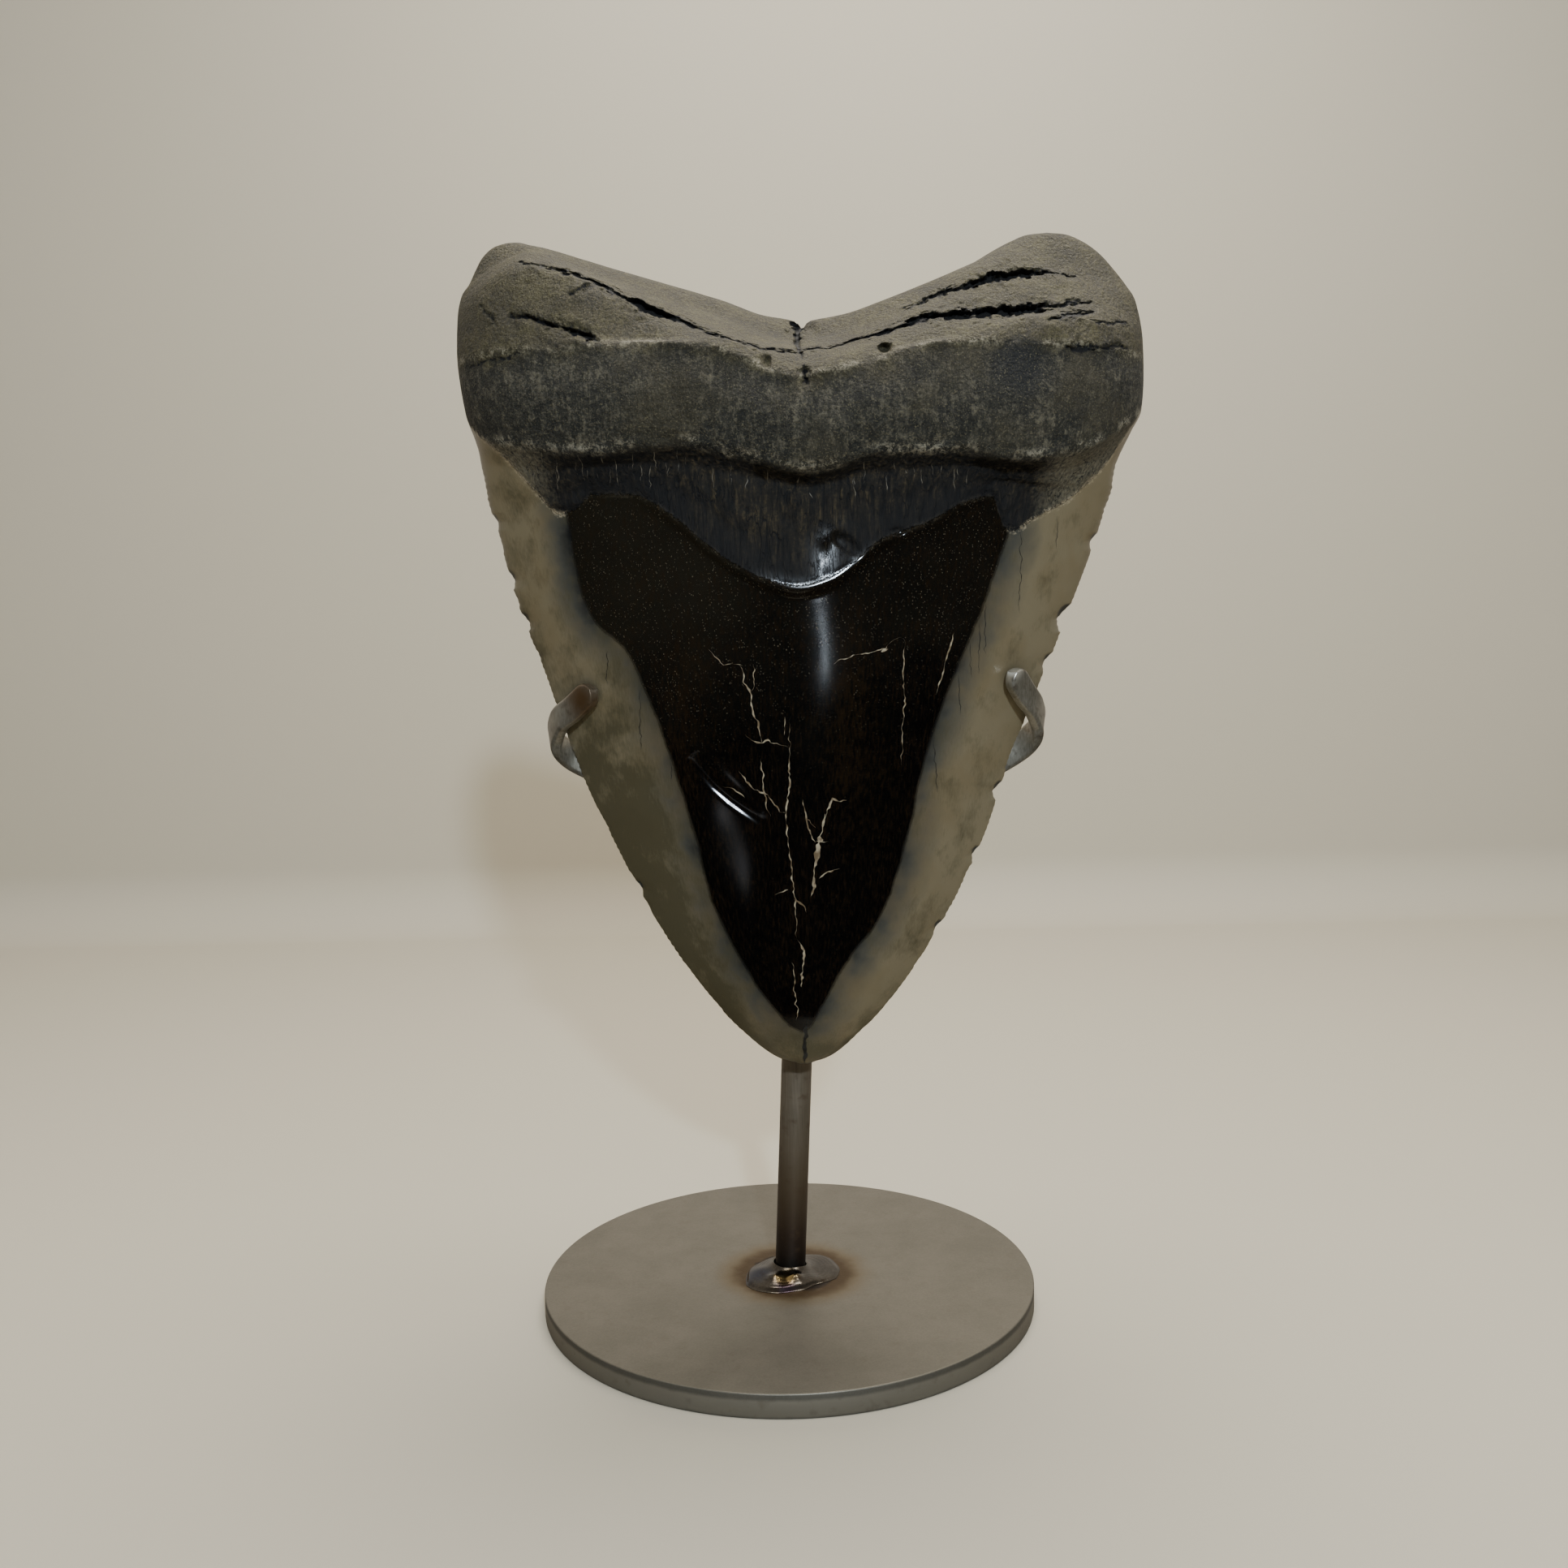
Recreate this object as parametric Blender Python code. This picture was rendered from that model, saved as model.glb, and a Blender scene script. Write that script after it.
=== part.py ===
"""A megalodon tooth held tip down in a steel claw stand.

Lengths are in millimetres and become metres as each mesh is made. The origin is
the centre of the base plate's underside, +Z is up, and the tooth's bulging inner
(lingual) face looks along -Y, with its left edge at -X.
"""

import math

import bmesh
import bpy
import numpy as np
from mathutils import Vector

MM = 0.001
GAP = 0.3  # clearance between pieces that touch
SHARP_DEGREES = 40.0  # edges that turn more than this stay sharp

# Stand: a 4 inch disc of 3/16 inch plate, a 1/4 inch round bar and small flat bar.
PLATE_RADIUS = 50.8
PLATE_THICKNESS = 4.76
PLATE_EDGE_BREAK = 0.35
PLATE_SIDES = 72

POST_RADIUS = 3.15
POST_TOP = 118.0
POST_FOOT_X = 0.2
POST_LEAN = math.radians(2.8)
POST_SIDES = 24
POST_END_ROUND = 0.8

# Welds: rings as (radius, height above the bead's foot) from foot to crown. The base
# weld's puddle sits a little in front of the post, and each outline ripples round it.
BASE_WELD_RINGS = [(8.8, 0.0), (8.5, 0.45), (7.4, 1.15), (6.0, 1.8)]
BASE_WELD_HEIGHT = 2.3
BASE_WELD_MIDDLE = (0.3, -1.6)
BASE_WELD_RIPPLE = (0.045, 3, 0.6)  # share of the radius, waves round, phase
BASE_WELD_SIDES = 28
CLAW_WELD_RINGS = [(4.5, 0.8), (5.6, 2.9), (5.6, 6.1), (4.5, 8.2)]
CLAW_WELD_HEIGHT = 9.0
CLAW_WELD_RIPPLE = (0.03, 5, 1.6)
CLAW_WELD_SIDES = 20

BAR_WIDTH = 5.0
BAR_THICKNESS = 2.4
BAR_EDGE_ROUND = 0.5
BAR_TIP_ANGLES = (30, 55, 75, 88)  # stations round the bar's half-round end, in degrees
BAR_TRIM_SHARE = 0.6  # most of the half width that the corner rounding may take

# Tooth outline as (x, z) points, from the tip up each side and along the notched top.
EDGE_Y = -11.0  # plane that holds the cutting edges and the root's rim
TIP = (4.0, 52.8)
LEFT_SIDE = [TIP, (0, 53.7), (-8, 59.5), (-21, 76), (-33, 99), (-40, 115.5), (-45, 131.5),
             (-49.7, 144.5), (-53, 158), (-55.6, 169), (-56, 174), (-58, 181), (-59.2, 192),
             (-58.5, 203), (-55.5, 210.2), (-50, 213.2)]
RIGHT_SIDE = [TIP, (8.3, 54), (15, 59), (28, 75), (40, 98), (46, 115.5), (52.5, 131),
              (57.2, 143), (61.7, 154.5), (65, 165), (68.7, 175.5), (70.3, 186),
              (69.3, 198), (65.8, 206), (60, 211), (52.5, 212.7)]
TOP_EDGE = [(-50, 213.2), (-42, 211.3), (-33, 207.3), (-18, 202.4), (-3, 197.3), (3.8, 195.9),
            (5.2, 193.8), (6.8, 195.9), (13, 196.7), (25, 200.4), (37, 206.4), (45, 210.4),
            (52.5, 212.7)]

# Lines that cross the tooth from its left side to its right side, lowest first.
BLADE_TIP = [(1.0, 53.2), (7.0, 53.4)]
BLADE_POINT = [(-6.0, 58.0), (13.0, 57.6)]
BLADE_LOW = [(-16.5, 69.0), (22.0, 67.0)]
BLADE_THIRD = [(-28.5, 89.5), (35.0, 87.5)]
BLADE_MIDDLE = [(-38.0, 111.0), (44.5, 111.0)]
BLADE_HIGH = [(-45.5, 133.0), (53.5, 133.0)]
LIP = [(-53, 158), (-30, 160.5), (-18, 159.5), (-12, 154.8), (-5, 149.6), (4.5, 147),
       (10, 148.5), (17, 153.2), (28, 158.2), (40, 161), (62.5, 157.5)]
NECK = [(-56.2, 171), (-40, 168.5), (-20, 169), (-5, 166), (6, 163.8), (18, 166),
        (35, 167.5), (50, 166.5), (67.5, 172)]
LEDGE = [(-57.3, 176), (-44, 172.8), (-32, 171.2), (-16, 172), (-6, 169.6), (6, 166.9),
         (20, 169.8), (32, 170.1), (44, 168.7), (55, 170.4), (69.3, 178)]
ROOT_FACE = [(-58.5, 183), (-35, 180.5), (-16, 181), (5, 175.5), (22, 178), (45, 179),
             (70.2, 183)]
BROW = [(-59, 189), (-35, 188.6), (-22, 189), (-10, 187.2), (5, 182.4), (18, 184.8),
        (30, 188), (50, 187.8), (70.2, 187)]
LOWER_CRACK = [(-59.3, 193), (-45.5, 195), (-40, 194.2), (-35, 192.6), (-30, 191), (-10, 190),
               (5, 185.4), (20, 188), (36, 191), (52, 193), (70, 192)]
LONG_CRACK = [(-59, 198), (-44.5, 204.8), (-37, 203.2), (-27, 198.8), (-17, 194.4),
              (-9, 192), (-1, 189.2), (5, 188.4), (12, 188.8), (23, 192.2), (30, 194.2),
              (48, 195.2), (57, 196.2), (69.6, 195.5)]
UPPER_CRACK = [(-58, 203), (-44, 208.5), (-30, 203.5), (-9, 196), (5, 191.4), (12, 192.4),
               (24, 197), (31, 199.5), (37, 201.3), (43, 202.8), (51, 203.4), (57, 202.6),
               (67.5, 203)]

# Each line: name, points, front and back depth from the edge plane, then how square the
# front and the back are there. 0 is the blade's lens with sharp edges, 1 a blunt block.
SECTIONS = [
    ("blade_tip", BLADE_TIP, 1.5, 0.7, 0.0, 0.0),
    ("blade_point", BLADE_POINT, 5.0, 1.7, 0.0, 0.0),
    ("blade_low", BLADE_LOW, 9.8, 3.0, 0.0, 0.0),
    ("blade_third", BLADE_THIRD, 14.0, 4.0, 0.0, 0.04),
    ("blade_middle", BLADE_MIDDLE, 17.2, 4.7, 0.02, 0.1),
    ("blade_high", BLADE_HIGH, 19.6, 5.0, 0.08, 0.2),
    ("lip", LIP, 21.0, 5.2, 0.3, 0.36),
    ("neck", NECK, 21.6, 5.5, 0.62, 0.48),
    ("ledge", LEDGE, 25.2, 5.8, 0.9, 0.52),
    ("root_face", ROOT_FACE, 26.6, 6.3, 0.97, 0.65),
    ("brow", BROW, 25.4, 6.8, 1.0, 0.85),
    ("lower_crack", LOWER_CRACK, 25.4, 6.8, 1.0, 0.9),
    ("long_crack", LONG_CRACK, 25.4, 6.8, 1.0, 1.0),
    ("upper_crack", UPPER_CRACK, 25.4, 6.8, 1.0, 1.0),
    ("top_edge", TOP_EDGE, 25.4, 6.8, 1.0, 1.0),
]
ROWS_ABOVE = [2, 3, 5, 6, 5, 5, 4, 3, 2, 2, 1, 3, 2, 4]  # mesh rows from one line to the next
FINE_LINES = ["lip", "lower_crack", "long_crack", "upper_crack"]
FINE_HALF = 0.8  # extra rows run this far either side of a fine line
COLUMNS = 32
RIM_CROWDING = 0.55  # how far the columns crowd towards the rims, from 0 to 1
MIDDLE_COLUMN = 0.02  # extra columns this share either side of the midline
TOOTH_SHARP_DEGREES = 50.0
WELD_SEAM = 0.02  # vertices nearer than this are merged along the rim
MIDLINE = [TIP, (4.3, 110), (5.0, 170), (5.2, 193.8)]

LENS = (2.0, 1.05)  # exponents (a, b) of the section (1 - |u|^a)^b
BLOCK = (3.4, 0.46)
BEVEL = (1.7, 0.8)  # the root's front, falling back from the brow to the top edge
CROWN = (5.0, 0.5)  # the root's back, round at the top edge alone

# Relief on the front, in millimetres.
ROOT_BULGE = (2.4, 5.0, 24.0)  # extra depth, centre x and spread of the root's middle
BULGE_START, BULGE_FULL = -3.0, 2.0  # heights from the ledge between which it swells
LIP_STEP = (0.9, 1.0)  # height and width of the step along the V of the neck
LIP_SPAN = (-26.0, -18.0, 34.0, 42.0)  # x where the step starts, is full, fades and ends
CRACKS = [  # line, first x, last x, depth, half width
    (LONG_CRACK, -48.0, 58.0, 3.4, 0.75),
    (UPPER_CRACK, 24.0, 57.0, 2.8, 0.8),
    (LOWER_CRACK, -46.5, -31.0, 2.2, 0.7),
]
PITS = [  # x, z, radius along x, radius along z, depth
    (13.8, 154.4, 2.4, 1.6, 1.5),
    (22.3, 156.4, 1.3, 1.0, 0.8),
    (20.1, 188.0, 1.2, 1.1, 2.0),
    (-0.6, 186.0, 0.9, 1.3, 1.2),
]
NOTCH_HALF, NOTCH_DEPTH, NOTCH_FOOT = 0.9, 2.6, 181.0  # cleft in the middle of the root
TIP_SLOT_HALF, TIP_SLOT_DEPTH, TIP_SLOT_TOP = 0.6, 1.0, 61.0
RIM_FADE = 0.15  # relief dies away over this share of the half width, next to the rim
TOP_FADE = 0.25  # and where less than this share of the depth is left below the top edge

# Bites out of the cutting edges: side, z, half height, depth.
CHIPS = [
    ("right", 140.2, 2.6, 1.7), ("right", 131.8, 1.8, 0.9), ("right", 154.8, 1.6, 0.9),
    ("right", 107.0, 1.9, 1.1), ("right", 94.6, 1.6, 0.8), ("right", 80.0, 1.6, 0.8),
    ("left", 160.6, 1.6, 0.7), ("left", 149.6, 1.8, 0.8), ("left", 141.6, 1.8, 0.9),
    ("left", 89.0, 1.6, 0.8),
]
CHIP_REACH = 0.125  # share of the half width that a bite moves
CHIP_HOLLOW = 0.7  # exponent that rounds a bite's outline

# Claws: the bar's centre line as (x, y, z) with the way its outer flat faces.
RIGHT_CLAW = [
    ((5.3, -4.65, 101.0), (0, 1, 0)), ((16, -5.3, 102.6), (0, 1, 0)),
    ((28, -6.3, 106.0), (0.05, 1, 0)), ((38, -7.6, 110.0), (0.12, 1, 0)),
    ((44.2, -8.6, 113.0), (0.3, 1, 0)), ((48.7, -9.5, 116.4), (0.7, 0.8, 0)),
    ((50.6, -11.4, 120.0), (1, -0.1, -0.2)), ((49.5, -14.0, 123.2), (0.85, -0.6, 0)),
    ((47.3, -16.4, 126.0), (0.6, -0.8, 0)), ((44.4, -19.4, 130.4), (0.55, -0.8, 0)),
]
LEFT_CLAW = [
    ((4.5, -4.65, 101.0), (0, 1, 0)), ((-7.5, -5.3, 102.3), (0, 1, 0)),
    ((-19.5, -6.3, 105.4), (-0.05, 1, 0)), ((-29.5, -7.6, 109.0), (-0.12, 1, 0)),
    ((-36.2, -8.6, 112.4), (-0.3, 1, 0)), ((-41.0, -9.5, 115.4), (-0.7, 0.8, 0)),
    ((-43.4, -11.4, 119.0), (-1, -0.1, -0.2)), ((-42.2, -14.2, 122.4), (-0.85, -0.6, 0)),
    ((-39.1, -16.8, 124.9), (-0.6, -0.8, 0)), ((-34.6, -20.2, 128.7), (-0.55, -0.8, 0)),
]
CLAW_STATIONS = 24

# Material: colour, roughness, metallic.
FOSSIL = ("fossil_tooth", (0.085, 0.075, 0.055), 0.45, 0.0)
BRUSHED_STEEL = ("brushed_steel", (0.42, 0.39, 0.35), 0.42, 1.0)
WELD_STEEL = ("welded_steel", (0.36, 0.31, 0.24), 0.28, 1.0)


def clear_scene():
    """Remove every object that the scene holds."""
    for obj in list(bpy.data.objects):
        bpy.data.objects.remove(obj, do_unlink=True)


def make_material(spec):
    """A plain Principled material from a (name, colour, roughness, metallic) row."""
    name, colour, roughness, metallic = spec
    material = bpy.data.materials.get(name)
    if material:
        return material
    material = bpy.data.materials.new(name)
    material.use_nodes = True
    shader = material.node_tree.nodes["Principled BSDF"]
    shader.inputs["Base Color"].default_value = (*colour, 1.0)
    shader.inputs["Roughness"].default_value = roughness
    shader.inputs["Metallic"].default_value = metallic
    return material


def add_object(name, bm, spec, sharp_degrees=SHARP_DEGREES):
    """Turn a bmesh in millimetres into a named object in metres."""
    bmesh.ops.recalc_face_normals(bm, faces=bm.faces)
    bmesh.ops.scale(bm, vec=(MM, MM, MM), verts=bm.verts)
    mesh = bpy.data.meshes.new(name)
    bm.to_mesh(mesh)
    bm.free()
    mesh.shade_smooth()
    mesh.set_sharp_from_angle(angle=math.radians(sharp_degrees))
    obj = bpy.data.objects.new(name, mesh)
    bpy.context.scene.collection.objects.link(obj)
    obj.data.materials.append(make_material(spec))
    return obj


def add_bevel(obj, width, segments=2):
    """Round an object's sharp edges; its mesh is already at full scale."""
    bevel = obj.modifiers.new("edge_break", "BEVEL")
    bevel.width = width * MM
    bevel.segments = segments
    bevel.limit_method = "ANGLE"
    bevel.angle_limit = math.radians(SHARP_DEGREES)


def smoothstep(low, high, value):
    """0 below low, 1 above high and smooth between."""
    part = np.clip((value - low) / (high - low), 0.0, 1.0)
    return part * part * (3.0 - 2.0 * part)


def smooth_through(knots, values, at):
    """Monotone cubic through the knots, so that it never swings past a point."""
    knots = np.asarray(knots, float)
    values = np.asarray(values, float)
    step = np.diff(knots)
    slope = np.diff(values) / step
    tangent = np.zeros_like(values)
    tangent[0] = slope[0]
    tangent[-1] = slope[-1]
    turning = slope[:-1] * slope[1:] <= 0
    weight_a = 2 * step[1:] + step[:-1]
    weight_b = step[1:] + 2 * step[:-1]
    with np.errstate(divide="ignore", invalid="ignore"):
        mean = (weight_a + weight_b) / (weight_a / slope[:-1] + weight_b / slope[1:])
    tangent[1:-1] = np.where(turning, 0.0, mean)
    at = np.clip(at, knots[0], knots[-1])
    cell = np.clip(np.searchsorted(knots, at, side="right") - 1, 0, len(step) - 1)
    part = (at - knots[cell]) / step[cell]
    rise = values[cell + 1] - values[cell]
    first = tangent[cell] * step[cell]
    last = tangent[cell + 1] * step[cell]
    return values[cell] + part * (
        first + part * (3 * rise - 2 * first - last + part * (first + last - 2 * rise))
    )


class Side:
    """One side of the outline, read by the distance along it from the tip."""

    def __init__(self, points):
        self.points = np.array(points, float)
        steps = np.linalg.norm(np.diff(self.points, axis=0), axis=1)
        self.along = np.concatenate([[0.0], np.cumsum(steps)])

    def place(self, distance):
        """The (x, z) point at a distance along the side."""
        x = smooth_through(self.along, self.points[:, 0], distance)
        z = smooth_through(self.along, self.points[:, 1], distance)
        return x, z

    def distance_at(self, height):
        """The distance along the side at which it reaches a height."""
        return float(np.interp(height, self.points[:, 1], self.along))


def section_span(u, squareness):
    """How full a section is at u, from -1 at its left edge to 1 at its right."""
    inside = np.clip(np.abs(u), 0.0, 1.0)
    lens = (1.0 - inside ** LENS[0]) ** LENS[1]
    block = (1.0 - inside ** BLOCK[0]) ** BLOCK[1]
    return lens + (block - lens) * squareness


def line_height(line, x):
    """Height of a crossing line at x."""
    points = np.array(line, float)
    return smooth_through(points[:, 0], points[:, 1], x)


def midline_x(z):
    """The midline's x at a height."""
    return np.interp(z, [height for _, height in MIDLINE], [x for x, _ in MIDLINE])


def front_relief(x, z):
    """Depth that the lip, the cracks, the pits and the clefts add to the front."""
    step_height, step_width = LIP_STEP
    fade = smoothstep(*LIP_SPAN[:2], x) - smoothstep(*LIP_SPAN[2:], x)
    above_lip = (z - line_height(LIP, x)) / step_width
    relief = step_height * fade * smoothstep(-0.5, 0.5, above_lip)
    for line, first, last, depth, half in CRACKS:
        part = np.clip((x - first) / (last - first), 0.0, 1.0)
        open_share = np.sqrt(np.clip(4 * part * (1 - part), 0.0, 1.0))
        near = np.exp(-(((z - line_height(line, x)) / half) ** 2))
        relief = relief - depth * open_share * near
    for pit_x, pit_z, radius_x, radius_z, depth in PITS:
        far = ((x - pit_x) / radius_x) ** 2 + ((z - pit_z) / radius_z) ** 2
        relief = relief - depth * np.exp(-far)
    return relief


def cleft(offset, half, depth):
    """Depth of a narrow cleft at a distance from its middle."""
    return -depth * np.exp(-((offset / half) ** 2))


class ToothSurface:
    """Lofts the tooth through its crossing lines, as two height fields on one outline."""

    def __init__(self):
        self.left = Side(LEFT_SIDE)
        self.right = Side(RIGHT_SIDE)
        names, lines, *shapes = zip(*SECTIONS)
        self.lines = [np.array(line, float) for line in lines]
        self.levels = np.array([TIP[1]] + [self.middle_height(line) for line in lines])
        self.level_of = dict(zip(names, self.levels[1:]))
        self.shapes = [np.array([0.0, *shape]) for shape in shapes]
        left_ends = [self.left.distance_at(line[0][1]) for line in lines[:-1]]
        right_ends = [self.right.distance_at(line[-1][1]) for line in lines[:-1]]
        self.left_ends = np.array([0.0, *left_ends, self.left.along[-1]])
        self.right_ends = np.array([0.0, *right_ends, self.right.along[-1]])

    @staticmethod
    def middle_height(line):
        """Height at which a crossing line meets the midline."""
        heights = [z for _, z in line]
        return float(line_height(line, midline_x(sum(heights) / len(heights))))

    def row_levels(self):
        """The level of each mesh row, with a pair of rows beside each fine line."""
        rows = [self.levels[0]]
        for low, high, count in zip(self.levels[:-1], self.levels[1:], [1, *ROWS_ABOVE]):
            rows.extend(np.linspace(low, high, count + 1)[1:])
        for name in FINE_LINES:
            rows.extend((self.level_of[name] - FINE_HALF, self.level_of[name] + FINE_HALF))
        return np.array(sorted(rows))

    def deviation(self, index, share):
        """How far a line's height departs from the chord between its ends."""
        if index == 0 or len(self.lines[index - 1]) < 3:
            return np.zeros_like(share)
        line = self.lines[index - 1]
        x = line[0, 0] + (line[-1, 0] - line[0, 0]) * share
        chord = line[0, 1] + (line[-1, 1] - line[0, 1]) * share
        return smooth_through(line[:, 0], line[:, 1], x) - chord

    def row(self, level, u):
        """The row's points in the XZ plane, and its front and back depths."""
        left_x, left_z = self.left.place(smooth_through(self.levels, self.left_ends, level))
        right_x, right_z = self.right.place(
            smooth_through(self.levels, self.right_ends, level)
        )
        middle = midline_x(level)
        x = middle + np.where(u < 0, u * (middle - left_x), u * (right_x - middle))
        share = (x - left_x) / max(right_x - left_x, 1e-6)
        upper = int(np.clip(np.searchsorted(self.levels, level), 1, len(self.levels) - 1))
        part = (level - self.levels[upper - 1]) / (self.levels[upper] - self.levels[upper - 1])
        below = self.deviation(upper - 1, share)
        above = self.deviation(upper, share)
        z = left_z + (right_z - left_z) * share + below + (above - below) * part
        return x, z, self.front_depth(level, u, x, z), self.back_depth(level, u)

    def shape_at(self, level):
        """Front depth, back depth, front squareness and back squareness at a level."""
        return [smooth_through(self.levels, shape, level) for shape in self.shapes]

    def fall(self, level, exponents):
        """How much of the depth is left between the brow, 1, and the top edge, 0."""
        brow = self.level_of["brow"]
        rise = np.clip((level - brow) / (self.levels[-1] - brow), 0.0, 1.0)
        return (1.0 - rise ** exponents[0]) ** exponents[1]

    def front_depth(self, level, u, x, z):
        """Depth of the front from the edge plane."""
        depth, _, square, _ = self.shape_at(level)
        extra, centre, spread = ROOT_BULGE
        ledge = self.level_of["ledge"]
        on_root = smoothstep(ledge + BULGE_START, ledge + BULGE_FULL, level)
        depth = depth + on_root * extra * np.exp(-(((x - centre) / spread) ** 2))
        fall = self.fall(level, BEVEL)
        offset = x - midline_x(z)
        relief = front_relief(x, z)
        relief = relief + cleft(offset, NOTCH_HALF, NOTCH_DEPTH) * (z > NOTCH_FOOT)
        relief = relief + cleft(offset, TIP_SLOT_HALF, TIP_SLOT_DEPTH) * (z < TIP_SLOT_TOP)
        fade = smoothstep(0.0, RIM_FADE, 1 - np.abs(u)) * np.minimum(1.0, fall / TOP_FADE)
        return np.maximum(depth * section_span(u, square) * fall + relief * fade, 0.0)

    def back_depth(self, level, u):
        """Depth of the back from the edge plane."""
        _, depth, _, square = self.shape_at(level)
        return depth * section_span(u, square) * self.fall(level, CROWN)


def chip_bite(side, z):
    """How far the chips on one side cut in at a height."""
    bite = 0.0
    for chip_side, chip_z, half, depth in CHIPS:
        if chip_side == side:
            bite = bite + depth * np.clip(1 - np.abs(z - chip_z) / half, 0, 1) ** CHIP_HOLLOW
    return bite


def column_places():
    """Column positions from -1 to 1, closer at the rims and beside the midline."""
    even = np.linspace(-1.0, 1.0, COLUMNS + 1)
    spread = RIM_CROWDING * np.sin(even * math.pi / 2) + (1 - RIM_CROWDING) * even
    return np.array(sorted([*spread, -MIDDLE_COLUMN, MIDDLE_COLUMN]))


def make_tooth():
    """The whole tooth, one grid for the front and one for the back, welded at the rim."""
    surface = ToothSurface()
    levels = surface.row_levels()
    columns = column_places()
    bm = bmesh.new()
    for facing in (-1, 1):
        grid = bmesh.ops.create_grid(
            bm, x_segments=len(columns) - 1, y_segments=len(levels) - 1, size=1.0
        )["verts"]
        grid.sort(key=lambda vert: (round(vert.co.y, 5), round(vert.co.x, 5)))
        for index, level in enumerate(levels):
            x, z, front, back = surface.row(level, columns)
            inward = np.clip(1 - (1 - np.abs(columns)) / CHIP_REACH, 0.0, 1.0)
            x = x + np.where(columns < 0, chip_bite("left", z), -chip_bite("right", z)) * inward
            depth = front if facing < 0 else back
            row = grid[index * len(columns):(index + 1) * len(columns)]
            for vert, px, pz, away in zip(row, x, z, depth):
                vert.co = (px, EDGE_Y + facing * away, pz)
    bmesh.ops.remove_doubles(bm, verts=bm.verts, dist=WELD_SEAM)
    return add_object("tooth", bm, FOSSIL, TOOTH_SHARP_DEGREES)


def make_plate():
    """Round base plate with its edges lightly broken."""
    bm = bmesh.new()
    bmesh.ops.create_cone(
        bm, cap_ends=True, segments=PLATE_SIDES, radius1=PLATE_RADIUS,
        radius2=PLATE_RADIUS, depth=PLATE_THICKNESS,
    )
    bmesh.ops.translate(bm, vec=(0, 0, PLATE_THICKNESS / 2), verts=bm.verts)
    plate = add_object("base_plate", bm, BRUSHED_STEEL)
    add_bevel(plate, PLATE_EDGE_BREAK, segments=1)
    return plate


def post_axis(z):
    """Where the leaning post's axis is at a height."""
    return Vector((POST_FOOT_X + (z - PLATE_THICKNESS) * math.tan(POST_LEAN), 0.0, z))


def make_post():
    """Round bar that leans a little to the right and ends behind the blade."""
    foot = post_axis(PLATE_THICKNESS + GAP)
    head = post_axis(POST_TOP)
    bm = bmesh.new()
    bmesh.ops.create_cone(
        bm, cap_ends=True, segments=POST_SIDES, radius1=POST_RADIUS,
        radius2=POST_RADIUS, depth=head.z - foot.z,
    )
    bmesh.ops.translate(bm, vec=(0, 0, (head.z + foot.z) / 2), verts=bm.verts)
    for vert in bm.verts:
        vert.co.x += post_axis(vert.co.z).x
    middle = (head.z + foot.z) / 2
    top_rim = [edge for edge in bm.edges if min(v.co.z for v in edge.verts) > middle]
    bmesh.ops.bevel(bm, geom=top_rim, offset=POST_END_ROUND, segments=2, affect="EDGES")
    return add_object("post", bm, BRUSHED_STEEL)


def ring_of(bm, places):
    """A closed loop of vertices and edges."""
    verts = [bm.verts.new(place) for place in places]
    return [bm.edges.new(pair) for pair in zip(verts, verts[1:] + verts[:1])]


def make_tube(rings):
    """A closed solid bridged through a list of rings, with its two ends capped."""
    bm = bmesh.new()
    loops = [ring_of(bm, ring) for ring in rings]
    for low, high in zip(loops[:-1], loops[1:]):
        bmesh.ops.bridge_loops(bm, edges=low + high)
    bmesh.ops.holes_fill(bm, edges=loops[0] + loops[-1], sides=0)
    return bm


def weld_bead(rings, height, foot, middle, ripple, sides):
    """A bead round the post: a wall that hugs the post and rippled rings outside it."""
    share, waves, phase = ripple
    bm = bmesh.new()
    loops = []
    for radius, rise in [(None, 0.0), *rings, (None, height)]:
        z = foot + rise
        centre = post_axis(z) if radius is None else middle
        places = []
        for index in range(sides):
            angle = 2 * math.pi * index / sides
            swell = 1 + share * math.sin(waves * angle + phase)
            reach = POST_RADIUS + GAP if radius is None else radius * swell
            places.append((centre[0] + reach * math.cos(angle),
                           centre[1] + reach * math.sin(angle), z))
        loops.append(ring_of(bm, places))
    for low, high in zip(loops, loops[1:] + loops[:1]):
        bmesh.ops.bridge_loops(bm, edges=low + high)
    return bm


def make_base_weld():
    """Low puddled weld that joins the post to the plate."""
    bm = weld_bead(
        BASE_WELD_RINGS, BASE_WELD_HEIGHT, PLATE_THICKNESS + GAP, BASE_WELD_MIDDLE,
        BASE_WELD_RIPPLE, BASE_WELD_SIDES,
    )
    return add_object("base_weld", bm, WELD_STEEL)


def make_claw_weld():
    """Bead on the back and sides of the post where both claw bars join its front."""
    crossing = RIGHT_CLAW[0][0][2]
    bm = weld_bead(
        CLAW_WELD_RINGS, CLAW_WELD_HEIGHT, crossing - CLAW_WELD_HEIGHT / 2,
        post_axis(crossing), CLAW_WELD_RIPPLE, CLAW_WELD_SIDES,
    )
    cut = bmesh.ops.bisect_plane(
        bm, geom=bm.verts[:] + bm.edges[:] + bm.faces[:],
        plane_co=(0, GAP - POST_RADIUS, 0), plane_no=(0, -1, 0), clear_outer=True,
    )["geom_cut"]
    edges = [item for item in cut if isinstance(item, bmesh.types.BMEdge)]
    bmesh.ops.holes_fill(bm, edges=edges, sides=0)
    return add_object("claw_weld", bm, WELD_STEEL)


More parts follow.
